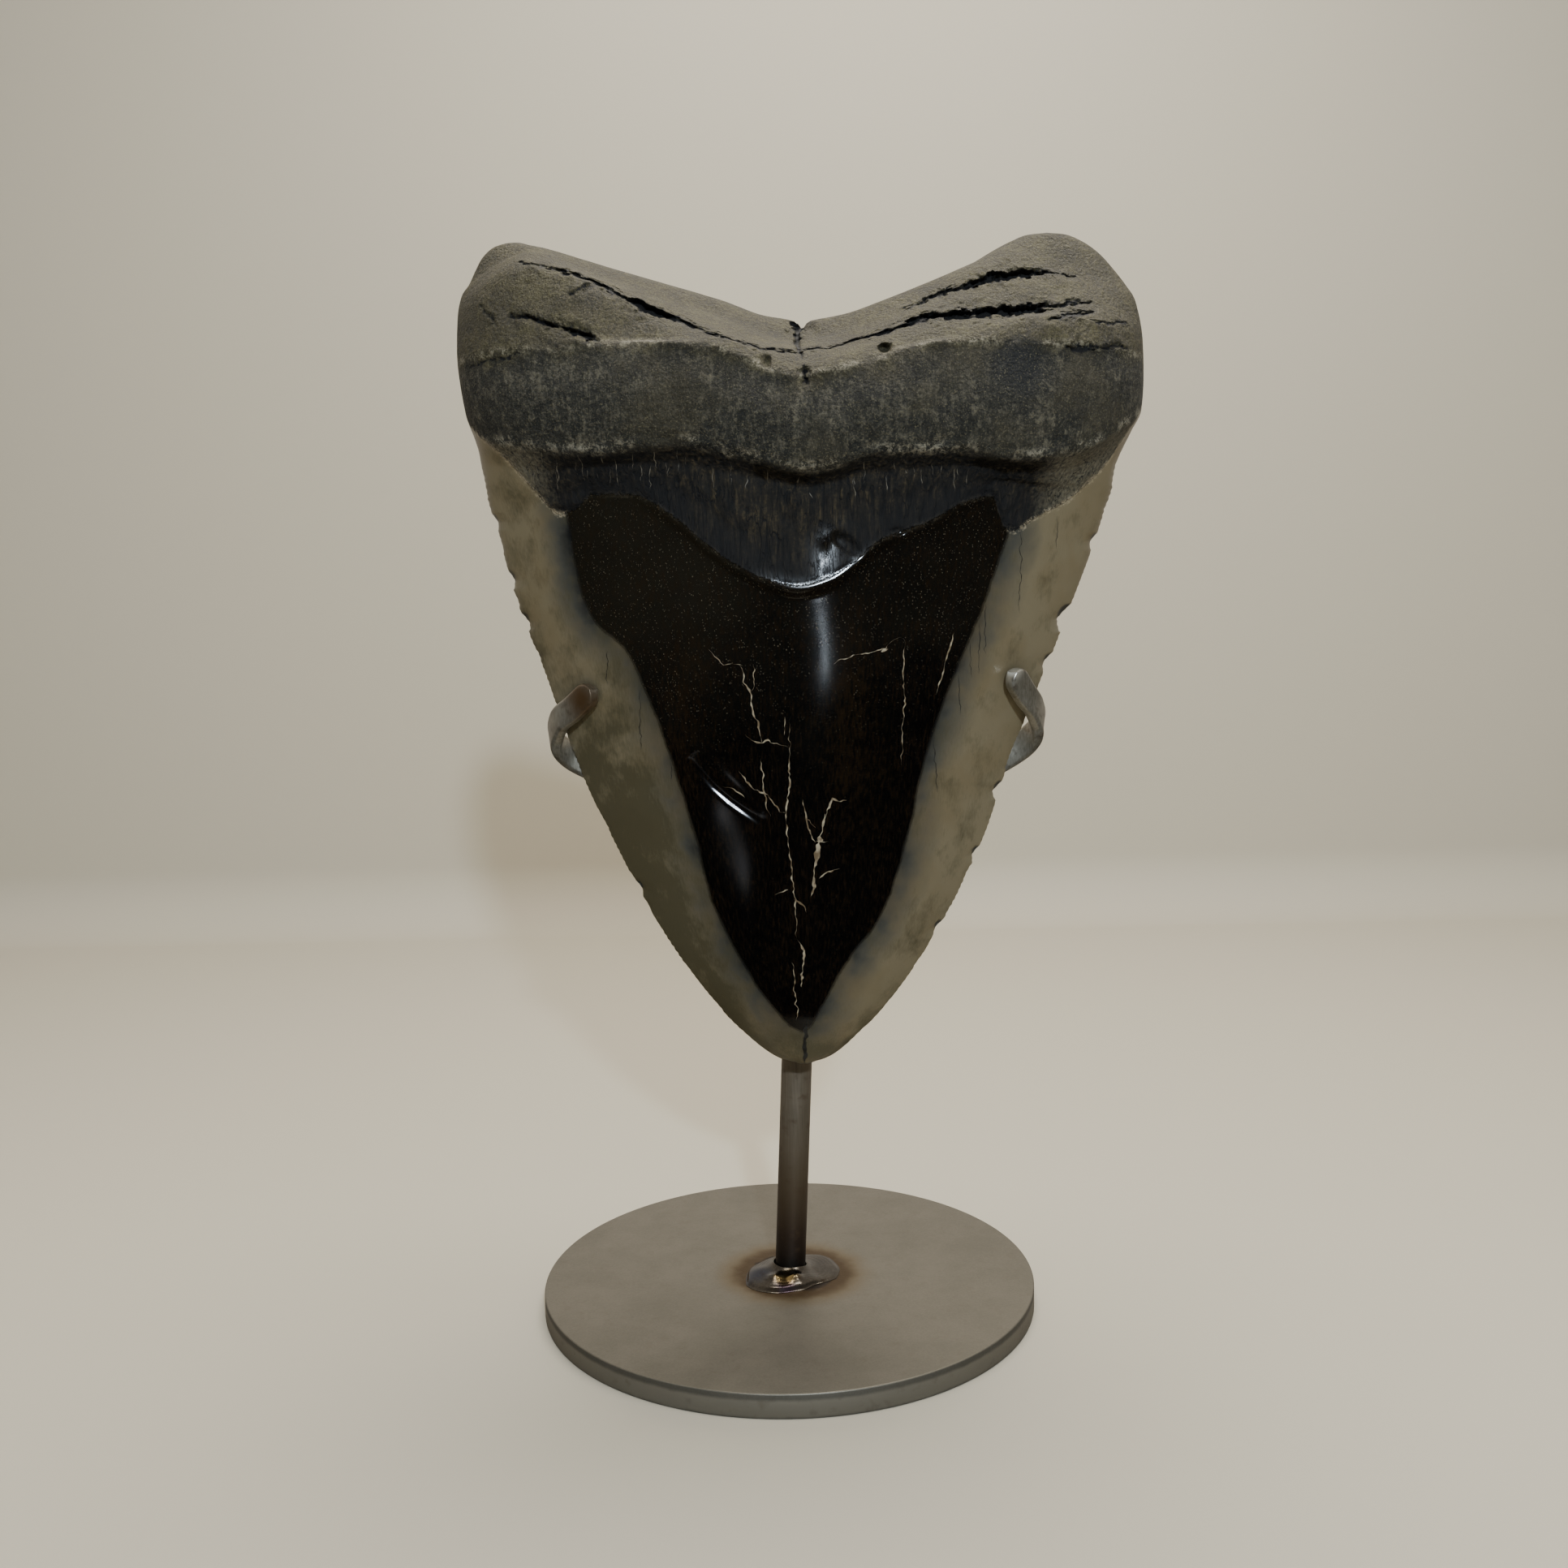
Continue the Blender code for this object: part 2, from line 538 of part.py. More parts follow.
def bar_section(width, thickness):
    """Outline of the flat bar, (across, through) points with rounded corners."""
    half_w = width / 2
    half_t = thickness / 2
    trim = min(BAR_EDGE_ROUND, half_w * BAR_TRIM_SHARE)
    return [
        (half_w - trim, half_t), (-half_w + trim, half_t),
        (-half_w, half_t - trim), (-half_w, -half_t + trim),
        (-half_w + trim, -half_t), (half_w - trim, -half_t),
        (half_w, -half_t + trim), (half_w, half_t - trim),
    ]


def make_claw(name, route):
    """A flat bar bent round one edge of the blade, its end rounded in its own plane."""
    places = np.array([place for place, _ in route], float)
    facings = np.array([facing for _, facing in route], float)
    steps = np.linalg.norm(np.diff(places, axis=0), axis=1)
    along = np.concatenate([[0.0], np.cumsum(steps)])
    length = along[-1]
    end_radius = BAR_WIDTH / 2
    plain = np.linspace(0.0, length - end_radius, CLAW_STATIONS)
    rounded = length - end_radius * (1 - np.sin(np.radians(BAR_TIP_ANGLES)))
    stations = np.concatenate([plain, rounded])
    curve = np.stack([smooth_through(along, places[:, k], stations) for k in range(3)], 1)
    facing = np.stack([smooth_through(along, facings[:, k], stations) for k in range(3)], 1)
    heading = np.gradient(curve, stations, axis=0)
    rings = []
    for place, ahead, outward, station in zip(curve, heading, facing, stations):
        ahead = Vector(ahead).normalized()
        outward = Vector(outward)
        outward = (outward - ahead * outward.dot(ahead)).normalized()
        across = ahead.cross(outward)
        past = max(0.0, station - (length - end_radius)) / end_radius
        width = BAR_WIDTH * math.sqrt(max(0.0, 1 - past * past))
        rings.append([
            Vector(place) + across * side + outward * through
            for side, through in bar_section(width, BAR_THICKNESS)
        ])
    return add_object(name, make_tube(rings), BRUSHED_STEEL)


def main():
    """Build every piece of the tooth and its stand."""
    clear_scene()
    make_tooth()
    make_plate()
    make_post()
    make_base_weld()
    make_claw_weld()
    make_claw("claw_left", LEFT_CLAW)
    make_claw("claw_right", RIGHT_CLAW)


main()
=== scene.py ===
"""Dresses a polished megalodon tooth and the welded steel claw stand that holds it.

Sizes are in millimetres unless a name says otherwise, +Z is up, and the tooth's bulging
inner face looks along -Y. A mesh is turned to metres as its piece is finished. Outline,
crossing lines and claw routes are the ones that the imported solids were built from.
"""

import logging
import math
from collections.abc import Callable, Iterator
from contextlib import contextmanager
from dataclasses import dataclass
from enum import Enum
from functools import cached_property, partial
from itertools import product

import bmesh
import bpy
import numpy as np
from mathutils import Matrix, Vector
from mathutils.bvhtree import BVHTree


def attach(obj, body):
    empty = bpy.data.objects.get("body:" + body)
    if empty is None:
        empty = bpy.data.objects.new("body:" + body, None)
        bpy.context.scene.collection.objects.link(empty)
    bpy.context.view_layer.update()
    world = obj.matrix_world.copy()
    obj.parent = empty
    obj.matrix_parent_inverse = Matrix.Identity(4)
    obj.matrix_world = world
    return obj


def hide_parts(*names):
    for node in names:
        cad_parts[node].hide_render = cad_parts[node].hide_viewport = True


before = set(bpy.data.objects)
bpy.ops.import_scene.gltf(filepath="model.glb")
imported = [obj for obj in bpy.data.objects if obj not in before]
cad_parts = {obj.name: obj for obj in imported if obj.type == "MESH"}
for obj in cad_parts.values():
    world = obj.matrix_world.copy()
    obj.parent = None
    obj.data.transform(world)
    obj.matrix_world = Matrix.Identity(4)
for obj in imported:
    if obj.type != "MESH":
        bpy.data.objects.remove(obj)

Array = np.ndarray
Place = tuple[float, float, float]
Route = tuple[tuple[float, ...], ...]
Piece = bpy.types.Object
Material = bpy.types.Material
Socket = bpy.types.NodeSocket
AddNode = Callable[..., Socket]

MM = 0.001
PER_METRE = 1000.0
BODY = "root"
# What scatters a lattice corner's noise: steps across, up and between seeds, and a gain.
SCATTER = (127.1, 311.7, 74.7, 43758.5453)
# A distance that reads as far from any crack, in millimetres.
FAR = 50.0
EVEN = (1.0, 1.0, 1.0)
# What each vertex of the unfinished grids carries, and each of the finished tooth.
GRID = ("level", "across", "facing")
MEASURES = ("collar", "polish", "ledge", "brow", "fissure", "blotch", "flank", "stain",
            "chip", "gloss", "haze", "grain", "crackle")
LOG = logging.getLogger("scene")


class Slot(Enum):
    """The record's material slots."""

    TOOTH = "fossil_tooth"
    STEEL = "brushed_steel"
    WELD = "welded_steel"


# --- small numeric tools -------------------------------------------------------------


def smoothstep(low: float, high: float, value: Array) -> Array:
    """Blend from 0 below low to 1 above high."""
    part = np.clip((value - low) / (high - low), 0.0, 1.0)
    return part * part * (3.0 - 2.0 * part)


def bell(value: Array, middle: float, spread: float) -> Array:
    """Rise to 1 at the middle and fall away evenly on both sides."""
    return np.exp(-(((value - middle) / spread) ** 2))


def smooth_through(knots: Array, values: Array, at: Array) -> Array:
    """Read a monotone cubic through the knots, which never swings past a point.

    Args:
        knots: Rising positions.
        values: The value at each knot, or a column of values for each position.
        at: Positions to read, held inside the knots.

    Returns:
        The value at each position.
    """
    knots = np.asarray(knots, float)
    values = np.asarray(values, float)
    column = np.arange(values.shape[1]) if values.ndim > 1 else 0
    values = values.reshape(len(knots), -1)
    step = np.diff(knots)[:, None]
    slope = np.diff(values, axis=0) / step
    tangent = np.zeros_like(values)
    tangent[0] = slope[0]
    tangent[-1] = slope[-1]
    weight_a = 2 * step[1:] + step[:-1]
    weight_b = step[1:] + 2 * step[:-1]
    with np.errstate(divide="ignore", invalid="ignore"):
        mean = (weight_a + weight_b) / (weight_a / slope[:-1] + weight_b / slope[1:])
    tangent[1:-1] = np.where(slope[:-1] * slope[1:] <= 0, 0.0, mean)
    at = np.clip(at, knots[0], knots[-1])
    cell = np.clip(np.searchsorted(knots, at, side="right") - 1, 0, len(step) - 1)
    wide = step[cell, 0]
    part = (at - knots[cell]) / wide
    rise = values[cell + 1, column] - values[cell, column]
    first = tangent[cell, column] * wide
    last = tangent[cell + 1, column] * wide
    return values[cell, column] + part * (
        first + part * (3 * rise - 2 * first - last + part * (first + last - 2 * rise))
    )


def line_height(line: Route, x: Array) -> Array:
    """Height at x of a line of (x, z) points, smoothed."""
    points = np.array(line, float)
    return smooth_through(points[:, 0], points[:, 1], x)


def distance_along(points: Array) -> Array:
    """Distance from the first of a row of points to each of them."""
    return np.concatenate([[0.0], np.cumsum(np.linalg.norm(np.diff(points, axis=0), axis=1))])


def lumps(x: Array, z: Array, wide: float, tall: float, seed: int) -> Array:
    """Smooth value noise from -1 to 1.

    Args:
        x: Positions across.
        z: Positions up.
        wide: Width of a lump.
        tall: Height of a lump.
        seed: Picks another pattern.

    Returns:
        The noise at each position.
    """
    across = x / wide
    along = z / tall
    left = np.floor(across)
    low = np.floor(along)
    part_x = smoothstep(0.0, 1.0, across - left)
    part_z = smoothstep(0.0, 1.0, along - low)
    per_x, per_z, per_seed, gain = SCATTER

    def corner(step_x: int, step_z: int) -> Array:
        """A lattice corner's own random value."""
        mixed = (left + step_x) * per_x + (low + step_z) * per_z + seed * per_seed
        return 2.0 * np.modf(np.abs(np.sin(mixed)) * gain)[0] - 1.0

    lower = corner(0, 0) + (corner(1, 0) - corner(0, 0)) * part_x
    upper = corner(0, 1) + (corner(1, 1) - corner(0, 1)) * part_x
    return lower + (upper - lower) * part_z


def waver(at: Array, wide: float, seed: int) -> Array:
    """Smooth noise from -1 to 1 along a line."""
    return lumps(at, at * 0, wide, 1.0, seed)


def near_route(route: Route | Array, x: Array, z: Array) -> tuple[Array, Array]:
    """Find the nearest place on a route of (x, z) points.

    Args:
        route: The route's points, one row each; columns past the second are ignored.
        x: Positions across.
        z: Positions up.

    Returns:
        The distance, and the place along as a point's index plus a share.
    """
    points = np.array(route, float)[:, :2]
    best = np.full(x.shape, np.inf)
    where = np.zeros(x.shape)
    for index, (start, end) in enumerate(zip(points[:-1], points[1:])):
        step = end - start
        share = ((x - start[0]) * step[0] + (z - start[1]) * step[1]) / (step @ step)
        share = np.clip(share, 0.0, 1.0)
        gap = np.hypot(x - start[0] - share * step[0], z - start[1] - share * step[1])
        where = np.where(gap < best, index + share, where)
        best = np.minimum(gap, best)
    return best, where


def signed_inside(outline: Route, x: Array, z: Array) -> Array:
    """Distance to a closed outline, positive inside it and negative outside."""
    closed = np.array([*outline, outline[0]], float)
    inside = np.zeros(x.shape, bool)
    for (x0, z0), (x1, z1) in zip(closed[:-1], closed[1:]):
        if z0 != z1:
            spans = (z0 > z) != (z1 > z)
            inside ^= spans & (x < (x1 - x0) * (z - z0) / (z1 - z0) + x0)
    gap, _ = near_route(closed, x, z)
    return np.where(inside, gap, -gap)


def ring_faces(first: int, around: int, rings: int, bands: int) -> list[tuple[int, ...]]:
    """Join rings of vertices with four-sided faces.

    Args:
        first: Index of the first ring's first vertex.
        around: Vertices in a ring.
        rings: How many rings there are.
        bands: How many gaps to fill; as many as rings closes the last onto the first.

    Returns:
        Each face's vertex indices.
    """
    faces = []
    for row, k in product(range(bands), range(around)):
        low, high = first + row * around, first + (row + 1) % rings * around
        on = (k + 1) % around
        faces.append((low + k, low + on, high + on, high + k))
    return faces


# --- small Blender tools -------------------------------------------------------------


def linear(colour: str) -> tuple[float, float, float, float]:
    """Turn an sRGB hex colour into linear RGBA."""
    parts = [int(colour[i:i + 2], 16) / 255 for i in (1, 3, 5)]
    bright = [c / 12.92 if c <= 0.04045 else ((c + 0.055) / 1.055) ** 2.4 for c in parts]
    return (*bright, 1.0)


def add_node(
    tree: bpy.types.NodeTree,
    kind: str,
    feeds: dict[int | str, object] | None = None,
    out: int = 0,
    ramp: tuple[tuple[float, str], ...] = (),
    **settings: object,
) -> Socket | None:
    """Add a node with its settings and links.

    Args:
        tree: The node tree to add to.
        kind: The node's type, without its ShaderNode.
        feeds: Input name or index to a socket to link or a value to set.
        out: Which output to hand back.
        ramp: Stops of a colour ramp, as (place, sRGB hex).
        **settings: Properties of the node.

    Returns:
        The output socket asked for, or nothing from a node that has none.
    """
    node = tree.nodes.new("ShaderNode" + kind)
    for name, value in settings.items():
        setattr(node, name, value)
    for key, value in (feeds or {}).items():
        if isinstance(value, bpy.types.NodeSocket):
            tree.links.new(value, node.inputs[key])
        else:
            node.inputs[key].default_value = value
    for index, (place, colour) in enumerate(ramp):
        stops = node.color_ramp.elements
        stop = stops[index] if index < len(stops) else stops.new(place)
        stop.position = place
        stop.color = linear(colour)
    return node.outputs[out] if len(node.outputs) else None


def sum_patterns(add: AddNode, *parts: tuple[Socket, float], start: float = 0.0) -> Socket:
    """Add patterns up, each times its weight.

    Args:
        add: Adds a node to the material's tree.
        *parts: Each pattern with its weight.
        start: What the sum starts from.

    Returns:
        The sum.
    """
    total = start
    for pattern, weight in parts:
        total = add("Math", {0: pattern, 1: weight, 2: total}, operation="MULTIPLY_ADD")
    return total


def lay_colours(
    add: AddNode, colour: Socket, *layers: tuple[Socket, float, float, float, str],
    **settings: str,
) -> Socket:
    """Lay colours over one another, each where its own pattern calls for it.

    Args:
        add: Adds a node to the material's tree.
        colour: The colour underneath.
        *layers: Each layer's pattern, the pattern's values where the layer starts and
            where it is full, the layer's greatest share, and its sRGB hex colour.
        **settings: How a layer comes in between those two values.

    Returns:
        The colour on top.
    """
    for pattern, begins, full, share, tone in layers:
        amount = add("MapRange", {0: pattern, 1: begins, 2: full, 4: share}, **settings)
        colour = add("Mix", {0: amount, 6: colour, 7: linear(tone)}, out=2, data_type="RGBA")
    return colour


def new_material(name: str) -> tuple[Material, AddNode]:
    """Start a node material, with an empty tree and what adds a node to it."""
    material = bpy.data.materials.new(name)
    material.use_nodes = True
    tree = material.node_tree
    for node in list(tree.nodes):
        tree.nodes.remove(node)
    return material, partial(add_node, tree)


def activate(piece: Piece | None = None) -> None:
    """Select nothing but this piece, so that the next operator acts on it alone."""
    bpy.ops.object.select_all(action="DESELECT")
    bpy.context.view_layer.objects.active = piece
    if piece:
        piece.select_set(True)


@contextmanager
def editing(by: str = "", action: str = "") -> Iterator[None]:
    """Stay in edit mode, where asked by VERT, EDGE or FACE, with all or nothing selected."""
    bpy.ops.object.mode_set(mode="EDIT")
    if by:
        bpy.ops.mesh.select_mode(type=by)
    if action:
        bpy.ops.mesh.select_all(action=action)
    yield
    bpy.ops.object.mode_set(mode="OBJECT")


def pick(piece: Piece, by: str, chosen: Array | list[bool]) -> None:
    """Leave only the chosen vertices, edges or faces of the active piece selected."""
    with editing(by, "DESELECT"):
        pass
    mesh = piece.data
    parts = {"VERT": mesh.vertices, "EDGE": mesh.edges, "FACE": mesh.polygons}[by]
    parts.foreach_set("select", chosen)


def read_each(parts: bpy.types.bpy_prop_collection, name: str, wide: int = 1,
              kind: type = float) -> Array:
    """A property of every vertex, edge, face or corner, in rows where it is wide."""
    values = np.empty(len(parts) * wide, kind)
    parts.foreach_get(name, values)
    return values.reshape(-1, wide) if wide > 1 else values


def write_points(piece: Piece, points: Array) -> None:
    """Move a piece's vertices."""
    piece.data.vertices.foreach_set("co", points.ravel())
    piece.data.update()


def add_solid_mesh(name: str, verts: list, faces: list) -> Piece:
    """Add an object made from worked-out vertices and faces.

    Args:
        name: The object's name.
        verts: Each vertex's place.
        faces: Each face's vertex indices.

    Returns:
        The object, its faces pointing outwards.
    """
    mesh = bpy.data.meshes.new(name)
    mesh.from_pydata(verts, [], faces)
    mesh.validate()
    piece = bpy.data.objects.new(name, mesh)
    bpy.context.scene.collection.objects.link(piece)
    activate(piece)
    with editing(action="SELECT"):
        bpy.ops.mesh.normals_make_consistent(inside=False)
    return piece


def add_cylinder(radius: float, sides: int, low: float, high: float, x: float = 0.0) -> Piece:
    """Add an upright cylinder.

    Args:
        radius: Its radius.
        sides: How many flats stand for its round.
        low: Height of its underside.
        high: Height of its top.
        x: Where it stands.

    Returns:
        The cylinder.
    """
    activate()
    bpy.ops.mesh.primitive_cylinder_add(
        vertices=sides, radius=radius, depth=high - low, location=(x, 0, (low + high) / 2)
    )
    return bpy.context.object


def finish_piece(
    piece: Piece,
    name: str,
    material: Material,
    nodes: tuple[str, ...] = (),
    sharp_degrees: float = 60.0,
) -> None:
    """Name, scale to metres, shade, dress and declare a finished piece.

    Args:
        piece: The piece, modelled in millimetres.
        name: Its name.
        material: Its finish.
        nodes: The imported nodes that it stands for.
        sharp_degrees: Edges that turn more than this stay sharp.
    """
    piece.name = name
    piece.data.name = name
    activate(piece)
    bpy.ops.object.transform_apply(location=True, rotation=True, scale=True)
    piece.data.transform(Matrix.Scale(MM, 4))
    bpy.ops.object.shade_smooth_by_angle(angle=math.radians(sharp_degrees))
    piece.data.materials.clear()
    piece.data.materials.append(material)
    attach(piece, BODY)
    if nodes:
        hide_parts(*nodes)
    LOG.info("%s: %d vertices, %d faces", name, len(piece.data.vertices), len(piece.data.polygons))


# --- the tooth's form ----------------------------------------------------------------


@dataclass(frozen=True)
class CrossLine:
    """A line across the tooth, with the section that the tooth has there."""

    points: Route
    front: float
    back: float
    front_square: float
    back_square: float
    rows: int


@dataclass(frozen=True)
class Fissure:
    """An open crack in the root, as (x, z, half width) points."""

    route: Route
    depth: float


@dataclass(frozen=True)
class Dimple:
    """A smooth hollow, with its long axis turned from level."""

    x: float
    z: float
    long: float
    short: float
    degrees: float
    depth: float
    steep: float = 1.0


class Side:
    """One side of the outline, read by the distance along it from the tip."""

    def __init__(self, points: Route) -> None:
        """Measure the distance to each point."""
        self.points = np.array(points, float)
        self.along = distance_along(self.points)

    def place(self, distance: Array) -> tuple[Array, Array]:
        """The x and z at a distance along the side."""
        x = smooth_through(self.along, self.points[:, 0], distance)
        z = smooth_through(self.along, self.points[:, 1], distance)
        return x, z

    def distance_at(self, height: float) -> float:
        """The distance along the side at which it reaches a height."""
        return float(np.interp(height, self.points[:, 1], self.along))


TIP = (4.0, 52.8)


@dataclass(frozen=True)
class ToothForm:
    """The tooth's shape: two height fields, front and back, on one outline."""

    edge_y: float = -11.0
    left_side: Route = (
        TIP, (0, 53.7), (-8, 59.5), (-21, 76), (-33, 99), (-40, 115.5), (-45, 131.5),
        (-49.7, 144.5), (-53, 158), (-55.6, 169), (-56, 174), (-58, 181), (-59.15, 192), (-58.9, 199),
        (-58.2, 202.6), (-56.7, 204.9), (-55.6, 207.2), (-54, 210), (-51.5, 212), (-49.5, 212.5),
    )
    right_side: Route = (
        TIP, (8.3, 54), (15, 59), (28, 75), (40, 98), (46, 115.5), (52.5, 131),
        (57.2, 143), (61.5, 154.4), (63.6, 160.7), (65.2, 165.5), (66, 170), (68.2, 175.2),
        (70, 179.3), (70.28, 186), (70.1, 193), (69, 199.6), (67.4, 202.3), (65.4, 205), (62, 208.8),
        (59, 210.9), (55.9, 212.2), (52.5, 212.6),
    )
    midline: Route = (TIP, (4.3, 110), (5.0, 170), (5.2, 193.8))
    lines: tuple[tuple[str, CrossLine], ...] = (
        ("blade_tip", CrossLine(((1.0, 53.2), (7.0, 53.4)), 1.5, 0.7, 0.0, 0.0, 1)),
        ("blade_point", CrossLine(((-6.0, 58.0), (13.0, 57.6)), 5.0, 1.7, 0.0, 0.0, 4)),
        ("blade_low", CrossLine(((-16.5, 69.0), (22.0, 67.0)), 9.8, 3.0, 0.0, 0.0, 11)),
        ("blade_third", CrossLine(((-28.5, 89.5), (35.0, 87.5)), 14.0, 4.0, 0.0, 0.04, 20)),
        ("blade_middle", CrossLine(((-38, 111), (44.5, 111)), 17.2, 4.7, 0.02, 0.1, 22)),
        ("blade_high", CrossLine(((-45.5, 133), (53.5, 133)), 19.6, 5.0, 0.08, 0.2, 22)),
        ("lip", CrossLine((
            (-53, 158), (-30, 160.5), (-18, 159.5), (-12, 154.8), (-5, 149.6), (4.5, 147), (10, 148.5),
            (17, 153.2), (28, 158.2), (40, 161), (62.5, 157.5),
        ), 21.0, 5.2, 0.3, 0.36, 18)),
        ("neck", CrossLine((
            (-56.2, 171), (-40, 168.5), (-20, 169), (-5, 166), (6, 163.8), (18, 166), (35, 167.5),
            (50, 166.5), (67.5, 172),
        ), 22.3, 5.5, 0.62, 0.48, 18)),
        ("ledge", CrossLine((
            (-57.3, 176), (-44, 172.8), (-32, 171.2), (-16, 172), (-6, 169.6), (6, 166.9), (20, 169.8),
            (32, 170.1), (44, 168.7), (55, 170.4), (69.3, 178),
        ), 25.2, 5.8, 0.9, 0.52, 7)),
        ("root_face", CrossLine((
            (-58.5, 183), (-35, 180.5), (-16, 181), (5, 175.5), (22, 178), (45, 179), (70.2, 183),
        ), 26.6, 6.3, 0.97, 0.65, 10)),
        ("brow", CrossLine((
            (-59, 189), (-35, 188.6), (-22, 189), (-10, 187.2), (5, 182.4), (18, 184.8), (30, 188),
            (50, 187.8), (70.2, 187),
        ), 25.4, 6.8, 1.0, 0.85, 9)),
        ("lower_crack", CrossLine((
            (-59.3, 193), (-45.5, 195), (-40, 194.2), (-35, 192.6), (-30, 191), (-10, 190), (5, 185.4),
            (20, 188), (36, 191), (52, 193), (70, 192),
        ), 25.4, 6.8, 1.0, 0.9, 6)),
        ("long_crack", CrossLine((
            (-59, 198), (-44.5, 204.8), (-37, 203.2), (-27, 198.8), (-17, 194.4), (-9, 192),
            (-1, 189.2), (5, 188.4), (12, 188.8), (23, 192.2), (30, 194.2), (48, 195.2), (57, 196.2),
            (69.6, 195.5),
        ), 25.4, 6.8, 1.0, 1.0, 8)),
        ("upper_crack", CrossLine((
            (-58, 203), (-44, 208.5), (-30, 203.5), (-9, 196), (5, 191.4), (12, 192.4), (24, 197),
            (31, 199.5), (37, 201.3), (43, 202.8), (51, 203.4), (57, 202.6), (67.5, 203),
        ), 25.4, 6.8, 1.0, 1.0, 7)),
        ("top_edge", CrossLine((
            (-49.5, 212.5), (-47.5, 212.7), (-44.8, 212.1), (-41.8, 211), (-34.6, 207.8),
            (-29.9, 206.6), (-19.5, 203.5), (-8.5, 200.2), (-2.3, 197.8), (3.6, 196.2), (5, 193.8),
            (6.4, 195.9), (13.3, 196.7), (19.2, 198.5), (29.4, 202.5), (36.7, 206.3), (45.4, 211),
            (49, 212.3), (52.5, 212.6),
        ), 25.4, 6.8, 1.0, 1.0, 9)),
    )
    # Exponents (a, b) of the sections (1 - |u|^a)^b, and of the falls to the top edge.
    lens: tuple[float, float] = (2.0, 1.05)
    block: tuple[float, float] = (3.4, 0.46)
    bevel: tuple[float, float] = (1.7, 0.8)
    crown: tuple[float, float] = (5.0, 0.5)
    root_bulge: Place = (2.4, 5.0, 24.0)
    bulge_span: tuple[float, float] = (-3.0, 2.0)
    rim_fade: float = 0.15
    # How far the lip lies below the collar's edge, its bead's height and its width.
    lip: Place = (1.8, 0.36, 1.1)
    top_fade: float = 0.25
    # Lower edge of the bare root and neck: along the enamel, then down the middle V.
    collar_edge: Route = (
        (-58.5, 180), (-53.6, 175.4), (-49.5, 171.9), (-46, 167.8), (-43.2, 164.5), (-39.5, 161.2),
        (-36.5, 161.8), (-33, 164.3), (-25.3, 163.9), (-17.4, 159.4), (-12.9, 155.4), (-7.5, 151.3),
        (-1.4, 148.2), (4.1, 146.9), (9.6, 148.2), (14.2, 150.9), (18.7, 154.7), (27.8, 158),
        (35.3, 161.8), (39.8, 162.6), (42.3, 157.2), (44, 156.5), (49.1, 159.3), (53.9, 161.5),
        (57.8, 164.5), (61.8, 168.2), (66, 174), (69.6, 180),
    )
    collar_edge_back: Route = ((-57, 172), (-40, 172.5), (5, 176), (45, 172.5), (68, 172))
    polish_outline: Route = (
        (-38.6, 176), (-38, 160), (-37.2, 153), (-36, 145.6), (-33.8, 141.3), (-30.6, 138.5),
        (-27.9, 136.1), (-25.7, 131.5), (-22.5, 123), (-20, 115), (-18.5, 109.6), (-17.2, 104.9),
        (-15.6, 99), (-14.4, 92.4), (-12.7, 86.3), (-10.2, 80.7), (-7.3, 75), (-4.6, 70.4),
        (-1.7, 66.1), (1.2, 62.6), (3.5, 61.4), (5.2, 62.6), (7.3, 67), (10.3, 72.7), (13.9, 78.2),
        (17.9, 83), (20.6, 88.4), (22.7, 95), (24.7, 102.7), (25.8, 108.3), (27, 113.5), (28.6, 119),
        (30.2, 123.3), (33, 130.2), (35.6, 136), (38.1, 141.5), (39.7, 146.5), (41.3, 151.3),
        (42.9, 155.7), (43.5, 176),
    )
